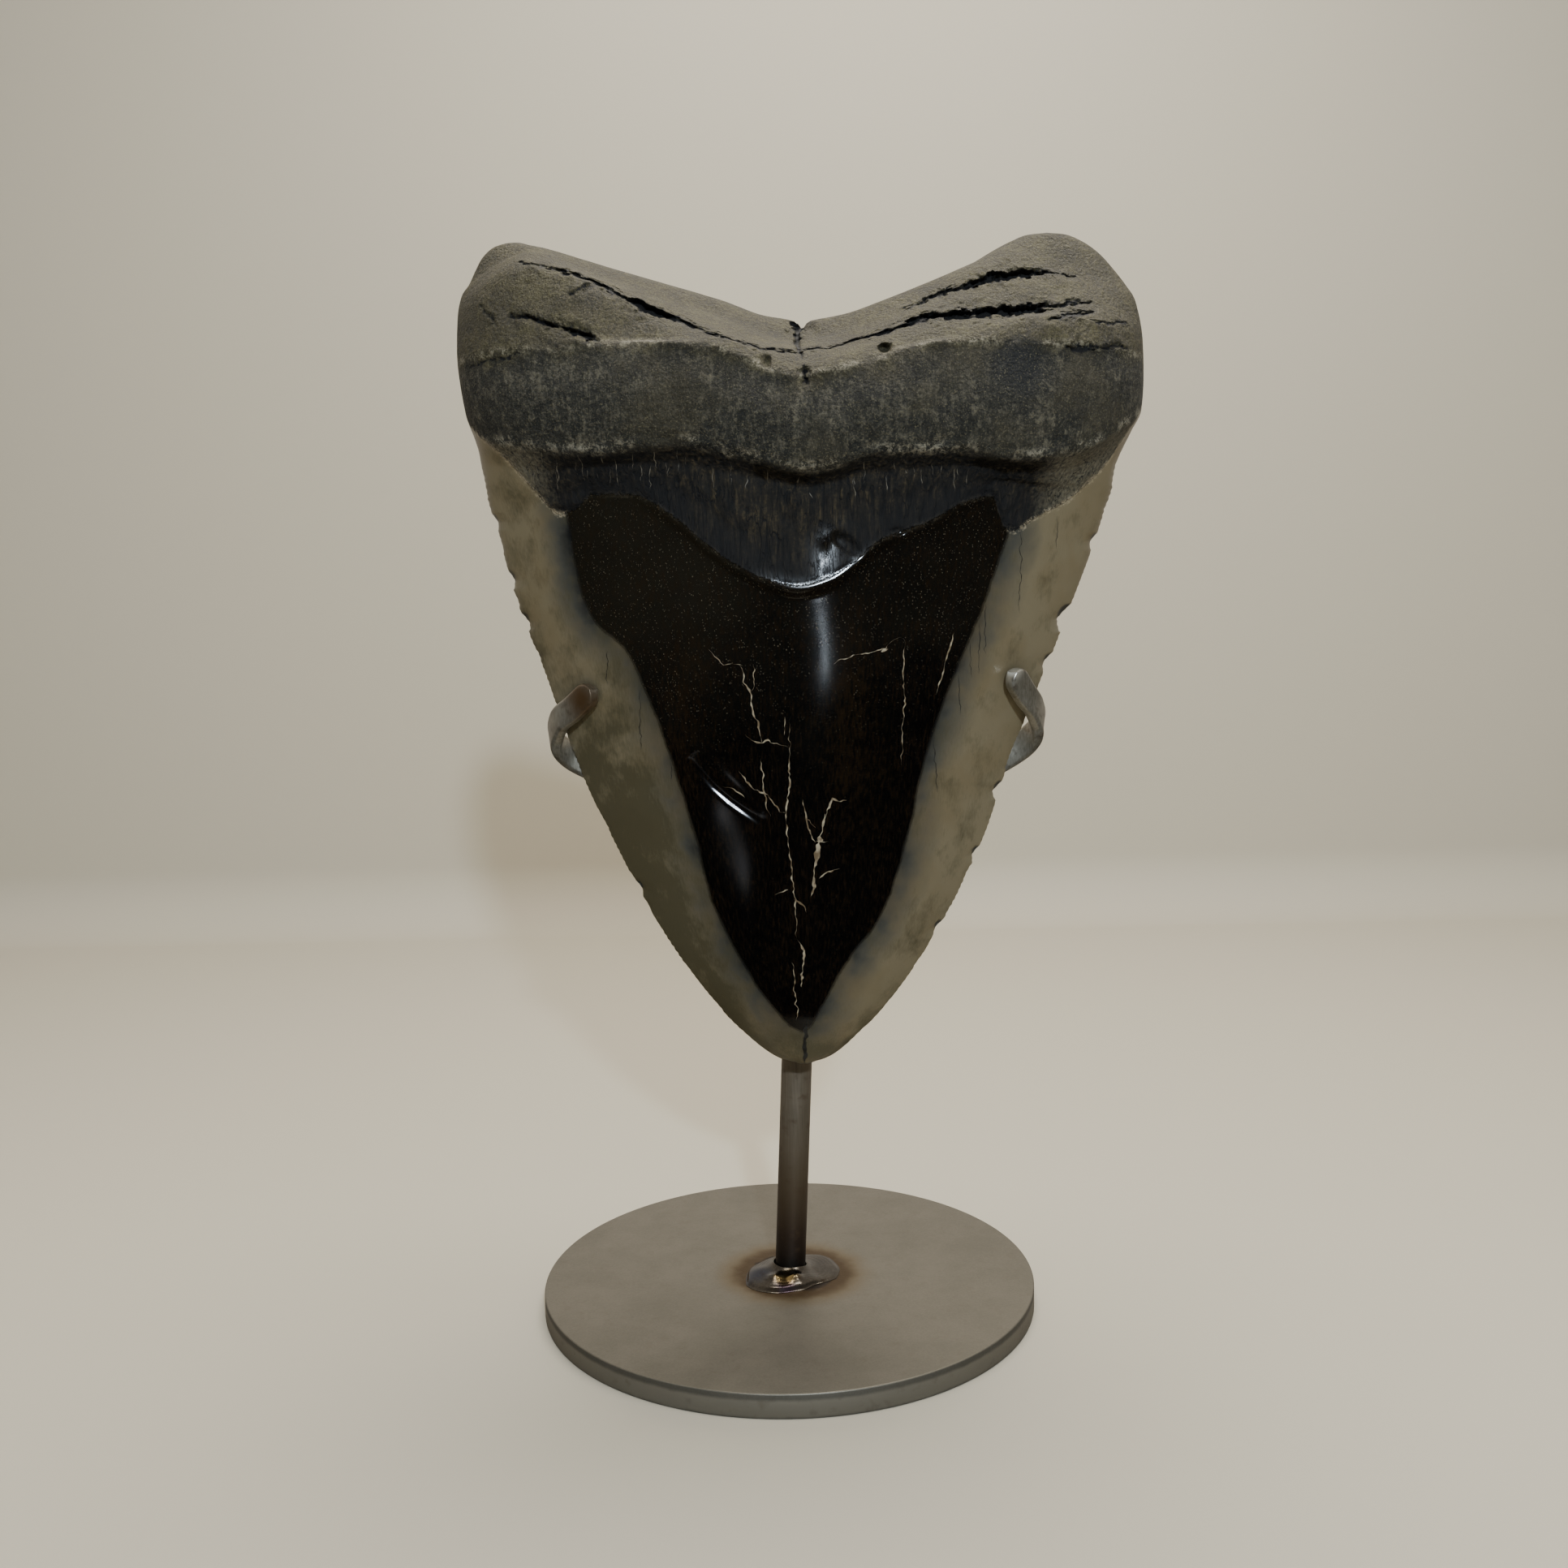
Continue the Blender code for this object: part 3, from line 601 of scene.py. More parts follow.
    fissures: tuple[Fissure, ...] = (
        Fissure(((-45, 205.9, 0.1), (-39.1, 204.2, 0.14), (-33.8, 202.6, 0.25), (-29.7, 200.9, 0.4),
            (-26.8, 198.8, 0.3), (-23.6, 197.3, 0.8), (-20.4, 195.7, 0.85), (-17, 194.5, 0.45),
            (-12, 191.7, 0.24), (-6.8, 189.6, 0.2), (-1.3, 188.1, 0.18), (4.3, 187.7, 0.2)), 3.4),
        Fissure(((-46.3, 195.8, 0.1), (-42.5, 195, 0.26), (-38.6, 193.4, 0.4), (-35.3, 192.5, 0.5),
            (-31.6, 190.9, 0.5), (-30.2, 190.1, 0.1)), 2.2),
        Fissure(((6, 188.3, 0.2), (10.6, 188.6, 0.2), (14.7, 190, 0.25), (19, 191.1, 0.36),
            (22.5, 192, 0.4), (25.3, 193.1, 0.5), (29.3, 194.1, 0.7), (35, 194.5, 0.95),
            (41.1, 194.9, 0.95), (47.8, 195.5, 0.85), (50.2, 196.1, 0.35), (53.2, 196.6, 0.3),
            (58.3, 197.2, 0.1)), 3.4),
        Fissure(((23.9, 196.3, 0.1), (28.4, 198.2, 0.3), (31.5, 199.6, 0.36), (35.9, 200.8, 0.5),
            (39.8, 202.3, 0.8), (45.2, 202.8, 0.9), (49.1, 203.3, 0.5), (52, 203.2, 0.16),
            (56.4, 202.9, 0.1)), 2.8),
        Fissure(((49.5, 192.5, 0.1), (52.1, 193.3, 0.45), (54.5, 194.1, 0.3),
            (58.2, 195.1, 0.1)), 1.0),
        Fissure(((57.3, 193, 0.1), (60, 192.8, 0.18), (65.1, 193.4, 0.08)), 0.5),
        Fissure(((52.3, 187.5, 0.15), (54.5, 187.8, 0.45), (57.9, 187.9, 0.16), (61, 188.4, 0.26),
            (64.4, 188.8, 0.1)), 0.7),
        Fissure(((5.2, 195, 1.1), (5, 192.6, 0.5), (4.7, 190.4, 0.34), (5.4, 187.6, 0.4),
            (5.5, 185.9, 0.1)), 2.8),
        Fissure(((5.9, 184.6, 0.12), (6, 183, 0.34), (6, 180.9, 0.12)), 1.6),
        Fissure(((-52.5, 198.5, 0.08), (-50.3, 196.2, 0.14), (-49.2, 194.6, 0.08)), 0.3),
        Fissure(((-35.6, 199.2, 0.08), (-32.4, 200.4, 0.16), (-30.8, 200.8, 0.06)), 0.3),
        Fissure(((-55.5, 187.9, 0.08), (-50.5, 188.1, 0.14), (-44.5, 188.5, 0.1)), 0.3),
    )
    dimples: tuple[Dimple, ...] = (
        Dimple(12.9, 154.2, 2.6, 1.25, -38.0, 1.3, 2.0),
        Dimple(22.2, 156.3, 1.3, 0.7, 0.0, 0.7, 2.0),
        Dimple(-0.6, 185.4, 0.7, 1.3, 0.0, 1.8, 2.0),
        Dimple(19.9, 187.6, 1.05, 0.95, 0.0, 2.6, 3.0),
        Dimple(30.5, 178.5, 1.6, 3.2, -12.0, 0.5),
        Dimple(-22.0, 190.0, 3.2, 1.2, 10.0, 0.5),
    )
    # Shallow hollows that the polishing wheel left low on the blade, and a groove.
    polish_hollows: tuple[Dimple, ...] = (
        Dimple(-9.5, 97.0, 6.5, 9.0, 0.0, 0.4),
        Dimple(15.0, 96.0, 12.0, 5.0, 60.0, 0.15),
    )
    streak_groove: Route = (
        (-16.5, 116.2), (-14.3, 113.3), (-12, 110.5), (-9.1, 107.9), (-6.4, 105.9), (-3.9, 104.1),
        (-2, 103.2),
    )
    # The groove's steep wall, its gentle side and its depth.
    streak_section: Place = (1.4, 2.2, 0.62)
    # Bites out of the cutting edges: side, z, half height, depth.
    chips: tuple[tuple[int, float, float, float], ...] = (
        (1, 140.2, 2.6, 1.7), (1, 131.8, 1.8, 0.9), (1, 154.8, 1.6, 0.9), (1, 107, 1.9, 1.1),
        (1, 94.6, 1.6, 0.8), (1, 80, 1.6, 0.8), (-1, 160.6, 1.6, 0.7), (-1, 149.6, 1.8, 0.8),
        (-1, 141.6, 1.8, 0.9), (-1, 89, 1.6, 0.8),
    )
    chip_reach: float = 0.125
    chip_hollow: float = 0.7
    serration_pitch: float = 1.15
    serration_depth: float = 0.22
    serration_reach: float = 0.03
    # How deep the edge is ragged, a crack's lip flakes, and how a scar fades at the rim.
    ragged_depth: float = 0.3
    shelf_depth: float = 0.35
    scar_fade: float = 0.02
    streak_ends: float = 0.7

    @cached_property
    def sides(self) -> tuple[Side, Side]:
        """The left side and the right side."""
        return Side(self.left_side), Side(self.right_side)

    @cached_property
    def levels(self) -> Array:
        """The height at which each crossing line meets the midline, from the tip up."""
        heights = []
        for _, line in self.lines:
            mean = sum(z for _, z in line.points) / len(line.points)
            heights.append(float(line_height(line.points, self.midline_x(mean))))
        return np.array([TIP[1], *heights])

    @cached_property
    def level_of(self) -> dict[str, float]:
        """Each crossing line's level by its name."""
        return dict(zip([name for name, _ in self.lines], self.levels[1:]))

    @cached_property
    def side_stops(self) -> tuple[Array, Array]:
        """How far along each side every crossing line ends."""
        stops = []
        for side, end in zip(self.sides, (0, -1)):
            middle = [side.distance_at(line.points[end][1]) for _, line in self.lines[:-1]]
            stops.append(np.array([0.0, *middle, side.along[-1]]))
        return stops[0], stops[1]

    def height_of(self, name: str, x: Array) -> Array:
        """Height at x of the crossing line of this name."""
        return line_height(dict(self.lines)[name].points, x)

    def midline_x(self, z: Array) -> Array:
        """The midline's x at a height."""
        heights = [height for _, height in self.midline]
        return np.interp(z, heights, [x for x, _ in self.midline])

    def row_levels(self) -> Array:
        """The level of each mesh row."""
        rows = [self.levels[:1]]
        for low, high, (_, line) in zip(self.levels[:-1], self.levels[1:], self.lines):
            rows.append(np.linspace(low, high, line.rows + 1)[1:])
        return np.concatenate(rows)

    def span(self, u: Array, square: Array) -> Array:
        """How full a section is at u, whether it is lens-shaped, 0, or blocky, 1."""
        inside = np.clip(np.abs(u), 0.0, 1.0)
        lens = (1.0 - inside ** self.lens[0]) ** self.lens[1]
        block = (1.0 - inside ** self.block[0]) ** self.block[1]
        return lens + (block - lens) * square

    def fall(self, level: Array, exponents: tuple[float, float]) -> Array:
        """How much of the depth is left between the brow, 1, and the top edge, 0."""
        brow = self.level_of["brow"]
        rise = np.clip((level - brow) / (self.levels[-1] - brow), 0.0, 1.0)
        return (1.0 - rise ** exponents[0]) ** exponents[1]

    def plan(self, level: Array, u: Array) -> tuple[Array, Array]:
        """Place grid points on the outline's plane.

        Args:
            level: Each point's level.
            u: Each point's share of the half width, -1 to 1.

        Returns:
            The x and z of each point.
        """
        (left_x, left_z), (right_x, right_z) = (
            side.place(smooth_through(self.levels, stops, level))
            for side, stops in zip(self.sides, self.side_stops)
        )
        middle = self.midline_x(level)
        x = middle + np.where(u < 0, u * (middle - left_x), u * (right_x - middle))
        share = (x - left_x) / np.maximum(right_x - left_x, 1e-6)
        leave = [np.zeros_like(x)]
        for _, line in self.lines:
            ends = zip(line.points[0], line.points[-1])
            line_x, chord = (first + (last - first) * share for first, last in ends)
            bent = len(line.points) > 2
            leave.append(line_height(line.points, line_x) - chord if bent else np.zeros_like(x))
        bend = smooth_through(self.levels, np.stack(leave), level)
        return x, left_z + (right_z - left_z) * share + bend

    def bite(self, side: int, z: Array, u: Array) -> Array:
        """How far chips and serrations cut in from one edge.

        Args:
            side: -1 for the left edge and 1 for the right.
            z: Heights.
            u: Shares of the half width.

        Returns:
            The cut at each point, in millimetres.
        """
        rim = 1 - np.abs(u)
        cut = np.zeros_like(z)
        for chip_side, chip_z, half, depth in self.chips:
            if chip_side == side:
                near = np.clip(1 - np.abs(z - chip_z) / half, 0, 1) ** self.chip_hollow
                cut = cut + depth * near * np.clip(1 - rim / self.chip_reach, 0, 1)
        tooth = np.abs(np.modf(z / self.serration_pitch)[0] * 2 - 1)
        painted_tip_highlight = 0.55 + 0.45 * waver(z, 7.0, 3 + side)
        on_blade = smoothstep(54, 60, z) * smoothstep(174, 168, z)
        ragged = self.ragged_depth * np.clip(waver(z, 2.6, 8 + side), 0, 1)
        reach = np.clip(1 - rim / self.serration_reach, 0, 1)
        return cut + (self.serration_depth * tooth * painted_tip_highlight + ragged) * on_blade * reach

    def fissure_gap(self, x: Array, z: Array) -> tuple[Array, Array]:
        """Measure the distance to the open cracks.

        Args:
            x: Positions across.
            z: Positions up.

        Returns:
            The distance outside the nearest crack's ragged edge, negative inside it, and
            the depth that the cracks carve.
        """
        ragged = 1.15 + 0.45 * lumps(x, z, 1.4, 1.1, 21) + 0.45 * lumps(x, z, 0.5, 0.5, 22)
        wander_x = x + 0.25 * lumps(x, z, 1.0, 0.9, 23)
        blocky = smoothstep(-0.1, 0.1, lumps(x, z, 1.5, 1.3, 24))
        wander_z = z + 0.4 * blocky - 0.2 + 0.16 * lumps(x, z, 0.6, 0.6, 25)
        nearest = np.full(x.shape, FAR)
        carved = np.zeros_like(x)
        for fissure in self.fissures:
            gap, along = near_route(fissure.route, wander_x, wander_z)
            halves = [half for _, _, half in fissure.route]
            half = np.interp(along, np.arange(len(halves)), halves) * ragged
            nearest = np.minimum(nearest, gap - half)
            # A narrow crack is shallow, and its lip breaks away in thin shelves.
            open_depth = np.minimum(fissure.depth, 0.2 + 3.2 * half)
            carved = np.maximum(carved, open_depth * smoothstep(1.15, 0.5, gap / half))
            shelf = gap / half + 1.1 * lumps(x, z, 0.9, 0.7, 26)
            carved = np.maximum(carved, self.shelf_depth * smoothstep(2.3, 1.9, shelf))
        return nearest, carved

    @staticmethod
    def hollow(dimple: Dimple, x: Array, z: Array) -> Array:
        """Depth that one smooth hollow takes away."""
        turn = math.radians(dimple.degrees)
        along = (x - dimple.x) * math.cos(turn) + (z - dimple.z) * math.sin(turn)
        across = (z - dimple.z) * math.cos(turn) - (x - dimple.x) * math.sin(turn)
        reach = (along / dimple.long) ** 2 + (across / dimple.short) ** 2
        return dimple.depth * np.exp(-(reach ** dimple.steep))

    def above_collar(self, x: Array, z: Array) -> Array:
        """Height above the bare neck's lower edge on the front, drawn even."""
        return z - line_height(self.collar_edge, x)

    def collar_height(self, x: Array, z: Array) -> Array:
        """Height above the bare neck's lower edge on the front, ragged as it is."""
        calm = 1 - 0.75 * smoothstep(-9, -2, x) * smoothstep(24, 15, x)
        ragged = 0.55 * lumps(x, z, 2.1, 4.0, 31) + 0.3 * lumps(x, z, 0.8, 1.6, 32)
        return self.above_collar(x, z) + ragged * calm

    def front_relief(self, x: Array, z: Array) -> Array:
        """Height that flakes, fibres, pits and cracks add to the front."""
        ledge = z - self.height_of("ledge", x)
        brow = z - self.height_of("brow", x)
        gap, carved = self.fissure_gap(x, z)
        # Upright fibres on the face between ledge and brow, strongest in the middle.
        on_face = smoothstep(-0.5, 1.5, ledge) * smoothstep(1.5, -1.5, brow)
        fibrous = 0.45 + 1.1 * bell(x, 4, 17)
        face = on_face * (
            0.3 * lumps(x, z, 9.0, 14.0, 51)
            + fibrous * 0.2 * lumps(x, z, 1.5, 6.0, 52)
            + fibrous * 0.14 * lumps(x, z, 0.8, 2.2, 53)
        )
        # Scales along the ledge's crest, and crumbs along the brow.
        scaly = 0.35 + 0.65 * np.clip(bell(x, -16, 9) + bell(x, 26, 15), 0, 1)
        crest = scaly * bell(ledge, 0.9, 1.7) * (
            0.45 * lumps(x, z, 3.0, 1.5, 54) + 0.5 * np.clip(lumps(x, z, 1.1, 0.8, 55), -0.2, 1)
        )
        crumbs = bell(brow, 0.5, 1.4) * (
            0.22 * np.clip(lumps(x, z, 1.3, 0.9, 56), -0.3, 1) + 0.12 * lumps(x, z, 4.0, 2.0, 57)
        )
        # Pitted bone above the brow, heaved up beside the cracks.
        on_top = smoothstep(-1.0, 1.5, brow)
        beside = bell(np.clip(gap, 0, FAR), 0, 1.8)
        top = on_top * (
            0.26 * lumps(x, z, 8.0, 6.0, 61)
            + 0.09 * lumps(x, z, 1.3, 1.1, 62)
            - 0.25 * smoothstep(0.62, 0.95, lumps(x, z, 2.4, 1.8, 63))
            + beside * (0.3 * lumps(x, z, 1.7, 1.1, 64) + 0.12)
        )
        for dimple in (*self.dimples, *self.polish_hollows):
            carved = carved + self.hollow(dimple, x, z)
        relief = self.neck_relief(x, z, ledge) + face + crest + crumbs + top
        return relief - carved - self.groove_depth(x, z)

    def groove_depth(self, x: Array, z: Array) -> Array:
        """Depth of the slanting groove in the polish."""
        wall, fade, deep = self.streak_section
        off, along = near_route(self.streak_groove, x, z)
        above = off * np.sign(z - line_height(self.streak_groove, x))
        ends = np.sin(math.pi * along / (len(self.streak_groove) - 1)) ** self.streak_ends
        groove = smoothstep(-wall, 0.0, above) * bell(np.clip(above, 0, None), 0, fade)
        return deep * ends * groove

    def neck_relief(self, x: Array, z: Array, ledge: Array) -> Array:
        """Height of the neck's flakes and of the lip where it meets the polish.

        Args:
            x: Positions across.
            z: Positions up.
            ledge: Heights above the ledge.

        Returns:
            The height at each point.
        """
        drop, bead_high, bead_wide = self.lip
        collar = self.collar_height(x, z)
        even = self.above_collar(x, z) + drop
        in_v = smoothstep(-30, -18, x) * smoothstep(41, 30, x)
        round_over = smoothstep(-0.8, 1.2, even) * bell(np.clip(even - 1, 0, None), 0, 5)
        swell = (0.55 + 0.95 * bell(x, 2, 10)) * round_over
        bead = bead_high * np.exp(-(((even - 0.9) / bead_wide) ** 2) - ((x - 9) / 9) ** 2)
        on_neck = smoothstep(0.0, 1.5, collar) * smoothstep(1.5, -0.5, ledge)
        rough = 1 - 0.92 * in_v * smoothstep(12, 6.5, even)
        flake = lumps(x, z, 4.2, 8.0, 41) + 0.5 * lumps(x, z, 1.6, 3.6, 42)
        under = bell(ledge, -2.2, 1.5) * smoothstep(-8, -2, x)
        return (
            0.25 * smoothstep(-0.2, 0.4, collar) * (1 - in_v)
            + in_v * (0.3 * smoothstep(-0.8, 1.0, even) + swell + bead)
            - 1.3 * under * smoothstep(20, 14, x)
            + on_neck * rough * (
                0.36 * smoothstep(-0.08, 0.08, flake + 0.25)
                + 0.36 * smoothstep(-0.06, 0.06, flake - 0.35)
                + 0.2 * lumps(x, z, 1.3, 5.0, 43)
            )
        )

    def chip_scallop(self, x: Array, z: Array) -> Array:
        """Depth of the shell-shaped scar behind each chip."""
        scar = np.zeros_like(x)
        for side, chip_z, half, depth in self.chips:
            # Up to the root, each side rises all the way, so height finds its x.
            edge = self.sides[side > 0].points[:12]
            stop = smooth_through(edge[:, 1], edge[:, 0], chip_z)
            reach = np.hypot((x - stop) / (half * 0.8), (z - chip_z - half * 0.2) / half)
            scar = scar + 0.5 * depth * smoothstep(1.0, 0.5, reach)
        return scar

    def surface(self, level: Array, u: Array, facing: Array) -> Array:
        """Place points of the finished surface.

        Args:
            level: Each point's level.
            u: Each point's share of the half width.
            facing: Negative on the front, positive on the back and 0 on the rim.

        Returns:
            One (x, y, z) row for each point, in millimetres.
        """
        x, z = self.plan(level, u)
        x = x + np.where(u < 0, self.bite(-1, z, u), -self.bite(1, z, u))
        front, back, front_square, back_square = (
            smooth_through(self.levels, [0.0, *(getattr(line, name) for _, line in self.lines)],
                           level)
            for name in ("front", "back", "front_square", "back_square")
        )
        extra, centre, spread = self.root_bulge
        low, high = (self.level_of["ledge"] + step for step in self.bulge_span)
        swell = smoothstep(low, high, level) * extra * bell(x, centre, spread)
        fall = self.fall(level, self.bevel)
        rim = 1 - np.abs(u)
        fade = smoothstep(0.0, self.rim_fade, rim) * np.minimum(1.0, fall / self.top_fade)
        front_depth = (front + swell) * self.span(u, front_square) * fall
        front_depth = front_depth + self.front_relief(x, z) * fade
        front_depth = front_depth - self.chip_scallop(x, z) * smoothstep(0.0, self.scar_fade, rim)
        crown = self.fall(level, self.crown)
        back_fade = fade * np.minimum(1.0, crown / self.top_fade)
        on_root = smoothstep(170, 176, z)
        back_relief = on_root * (
            0.25 * lumps(x, z, 8.0, 8.0, 71) + 0.1 * lumps(x, z, 1.5, 2.5, 72)
        ) + 0.12 * lumps(x, z, 14.0, 26.0, 73)
        back_depth = back * self.span(u, back_square) * crown + back_relief * back_fade
        depth = np.where(facing > 0, np.maximum(back_depth, 0.0), -np.maximum(front_depth, 0.0))
        return np.stack([x, self.edge_y + depth, z], axis=1)


# --- finishes ------------------------------------------------------------------------


@dataclass(frozen=True)
class FossilTooth:
    """Mineralised shark tooth, its root left matt and its crown ground and polished.

    The root is grey-brown porous bone, the neck scaly and darker, the polished crown
    shows near-black dentine with brown fibres under a glassy skin, and the enamel left
    along both edges is satin tan that turns blue-grey where it thins over the dentine.
    Each group of three colours runs from dark to light.
    """

    root: tuple[str, str, str] = ("#2e2a1d", "#3f3923", "#565032")
    root_speck: str = "#7c7457"
    root_pore: str = "#1d1b15"
    face: tuple[str, str, str] = ("#171710", "#302e25", "#656050")
    face_warm: str = "#3c3623"
    blotch: str = "#111518"
    neck: tuple[str, str, str] = ("#0a0805", "#211b11", "#4b4029")
    flank: str = "#6b6655"
    grit: str = "#a89d86"
    ridge: str = "#948e7c"
    dentine_dark: str = "#060505"
    dentine_grey: str = "#1e1c16"
    dentine_brown: str = "#23190e"
    dentine_fleck: str = "#7a7260"
    enamel: tuple[str, str, str] = ("#191a1b", "#454540", "#766d57")
    enamel_stain: str = "#44402e"
    enamel_brown: str = "#6b5d42"
    chip_face: str = "#272a2c"
    # Near-black of the neck's cracks and of the low neck, and the painted shade inside the open
    # cracks.
    crack_dark: str = "#0b0a0c"
    # Noise scale for each millimetre, its detail, and what it is laid on: grit of 0.6 mm
    # grains, mottling of 6 mm, patches of 17 mm, dust, and fibres 0.9 and 0.35 mm wide.
    noises: tuple[tuple[str, str, float, float], ...] = (
        ("grit", "place", 1.6, 5.0), ("mottle", "place", 0.16, 5.0),
        ("patch", "place", 0.06, 3.0), ("dust", "place", 3.4, 3.0),
        ("streak", "fibres", 1.1, 4.0), ("fine", "fibres", 2.9, 3.0),
    )
    noise_roughness: float = 0.62
    # Roughness of the glassy dentine, the satin enamel and the dull root.
    gloss: Place = (0.15, 0.34, 0.7)
    # Roughness of the neck, and of the lip where handling has burnished it.
    neck_gloss: tuple[float, float] = (0.88, 0.17)
    mineral_ior: float = 1.55

    def build(self) -> Material:
        """Build the finish."""
        material, add = self.tree
        p = self.patterns
        over = {"data_type": "RGBA", "out": 2}
        neck, neck_crack = self.neck_colour()

        # Where each layer starts, on edges that the grit and the mottling make ragged.
        ragged = sum_patterns(add, (p["grit"], 1.6), start=-0.8)
        ledge_edge = add("Math", {0: p["ledge"], 1: ragged}, operation="ADD")
        on_root = add("MapRange", {0: ledge_edge, 1: -1.2, 2: 0.3})
        collar_edge = add("Math", {0: p["collar"], 1: ragged}, operation="ADD")
        on_bone = add("MapRange", {0: collar_edge, 1: -0.12, 2: 0.12})
        soft = sum_patterns(add, (p["mottle"], 1.6), start=-0.8)
        polish_edge = add("Math", {0: p["polish"], 1: soft}, operation="ADD")
        on_dentine = add("MapRange", {0: polish_edge, 1: -0.5, 2: 0.3})

        crown = add("Mix", {0: on_dentine, 6: self.enamel_colour(),
                            7: self.dentine_colour()}, **over)
        bone = add("Mix", {0: on_root, 6: neck, 7: self.root_colour()}, **over)
        colour = add("Mix", {0: on_bone, 6: crown, 7: bone}, **over)
        colour = self.with_grit_lines(colour, collar_edge, on_dentine)
        # Painted shade: the open cracks are painted near-black inside, and the darkest root tone rings
        # their edges, on top of their carved depth.
        torn = sum_patterns(add, (p["grit"], 2.2), start=-1.1)
        torn = add("Math", {0: p["fissure"], 1: torn}, operation="ADD")
        colour = lay_colours(add, colour, (torn, 0.6, 0.2, 0.3, self.root[0]),
                             (torn, 0.1, -0.12, 0.96, self.crack_dark))

        glassy, satin, dull = self.gloss
        rough_crown = add("Mix", {0: on_dentine, 2: satin, 3: glassy})
        rough_neck = add("MapRange", {0: p["gloss"], 3: self.neck_gloss[0],
                                      4: self.neck_gloss[1]})
        rough_bone = add("Mix", {0: on_root, 2: rough_neck, 3: dull})
        rough = add("Mix", {0: on_bone, 2: rough_crown, 3: rough_bone})

        height = self.bump_height(neck_crack, on_bone, on_root, on_dentine)
        normal = add("Bump", {"Height": height, "Distance": MM, "Strength": 1.0})
        shader = add("BsdfPrincipled", {"Base Color": colour, "Roughness": rough,
                                        "IOR": self.mineral_ior, "Normal": normal})
        add("OutputMaterial", {"Surface": shader})
        return material

    @cached_property
    def tree(self) -> tuple[Material, AddNode]:
        """The material, and what adds a node to its tree."""
        return new_material("fossil_tooth_ground_and_polished")

    @cached_property
    def patterns(self) -> dict[str, Socket]:
        """Each pattern by its name: the tooth's own distances, in millimetres, and noises."""
        add = self.tree[1]
        objects = add("TexCoord", out=3)
        p = {name: add("Attribute", out=2, attribute_name=name) for name in MEASURES}
        # Fibres run up the tooth, and mineral flecks are a little longer than wide.
        for name, upwards in (("place", PER_METRE), ("fibres", 130.0), ("grains", 800.0)):
            p[name] = add("Mapping", {"Vector": objects, "Scale": (PER_METRE, PER_METRE, upwards)})
        for name, vector, scale, detail in self.noises:
            p[name] = add("TexNoise", {"Vector": p[vector], "Scale": scale, "Detail": detail,
                                       "Roughness": self.noise_roughness})
        # Scales of 1.5 mm, their edges wandering with the grit, each with its own tone.
        wander = add("TexNoise", {"Vector": p["place"], "Scale": 0.9, "Detail": 4.0}, out=1)
        wander = add("VectorMath", {0: wander, 1: (1.6, 1.6, 1.6), 2: p["place"]},
                     operation="MULTIPLY_ADD")
        p["scale"] = add("TexVoronoi", {"Vector": wander, "Scale": 0.75}, out=1)
        # Mineral flecks under 0.2 mm wide, closer together in some places than others.
        fleck = add("TexVoronoi", {"Vector": p["grains"], "Scale": 2.7})
        size = add("MapRange", {0: p["haze"], 1: 0.0, 2: 0.5, 3: 0.12, 4: 0.32})
        size = add("Math", {0: size, 1: fleck.node.outputs[1]}, operation="MULTIPLY")
        p["fleck"] = add("Math", {0: fleck, 1: size}, operation="LESS_THAN")
        return p

    def root_colour(self) -> Socket:
        """Colour of the bare root: pale and gritty above the brow, streaked below it."""
        add, p = self.tree[1], self.patterns
        blend = sum_patterns(add, (p["grit"], 0.6), (p["mottle"], 0.6), (p["scale"], 0.12))
        top = add("ValToRGB", {0: blend}, ramp=tuple(zip((0.5, 0.66, 0.84), self.root)))
        mixed = sum_patterns(add, (p["streak"], 0.4), (p["grit"], 0.5), (p["mottle"], 0.3),
                             (p["scale"], 0.18))
        face = add("ValToRGB", {0: mixed}, ramp=tuple(zip((0.58, 0.7, 0.87), self.face)))
        stain = add("Math", {0: p["mottle"], 1: 0.9, 2: p["blotch"]}, operation="MULTIPLY_ADD")
        face = lay_colours(add, face, (p["patch"], 0.48, 0.62, 0.6, self.face_warm),
                           (stain, 0.65, 1.05, 0.95, self.blotch))
        height = sum_patterns(add, (p["mottle"], 8.0), start=-4.0)
        height = add("Math", {0: height, 1: p["brow"]}, operation="ADD")
        on_top = add("MapRange", {0: height, 1: -2.2, 2: 1.8}, interpolation_type="SMOOTHSTEP")
        colour = add("Mix", {0: on_top, 6: face, 7: top}, out=2, data_type="RGBA")
        return lay_colours(add, colour, (p["dust"], 0.56, 0.68, 0.55, self.root_speck),
                           (p["dust"], 0.45, 0.34, 0.75, self.root_pore))

    def neck_colour(self) -> tuple[Socket, Socket]:
        """Colour of the scaly neck with its upright dark cracks, and where those are."""
        add, p = self.tree[1], self.patterns
        base = sum_patterns(add, (p["streak"], 0.7), (p["grit"], 0.35))
        colour = add("ValToRGB", {0: base}, ramp=tuple(zip((0.42, 0.56, 0.74), self.neck)))
        pale = add("Math", {0: p["grit"], 1: p["flank"]}, operation="MULTIPLY")
        colour = lay_colours(add, colour, (pale, 0.2, 0.75, 1.0, self.flank))
        # Cracks follow the level lines of a stretched noise, and break off in places.
        level = add("TexNoise", {"Vector": p["fibres"], "Scale": 0.75, "Detail": 2.0})
        off = add("Math", {0: level, 1: 0.5}, operation="SUBTRACT")
        off = add("Math", {0: off}, operation="ABSOLUTE")
        crack = add("MapRange", {0: off, 1: 0.022, 2: 0.006})
        broken = add("MapRange", {0: p["mottle"], 1: 0.42, 2: 0.52})
        crack = add("Math", {0: crack, 1: broken}, operation="MULTIPLY")
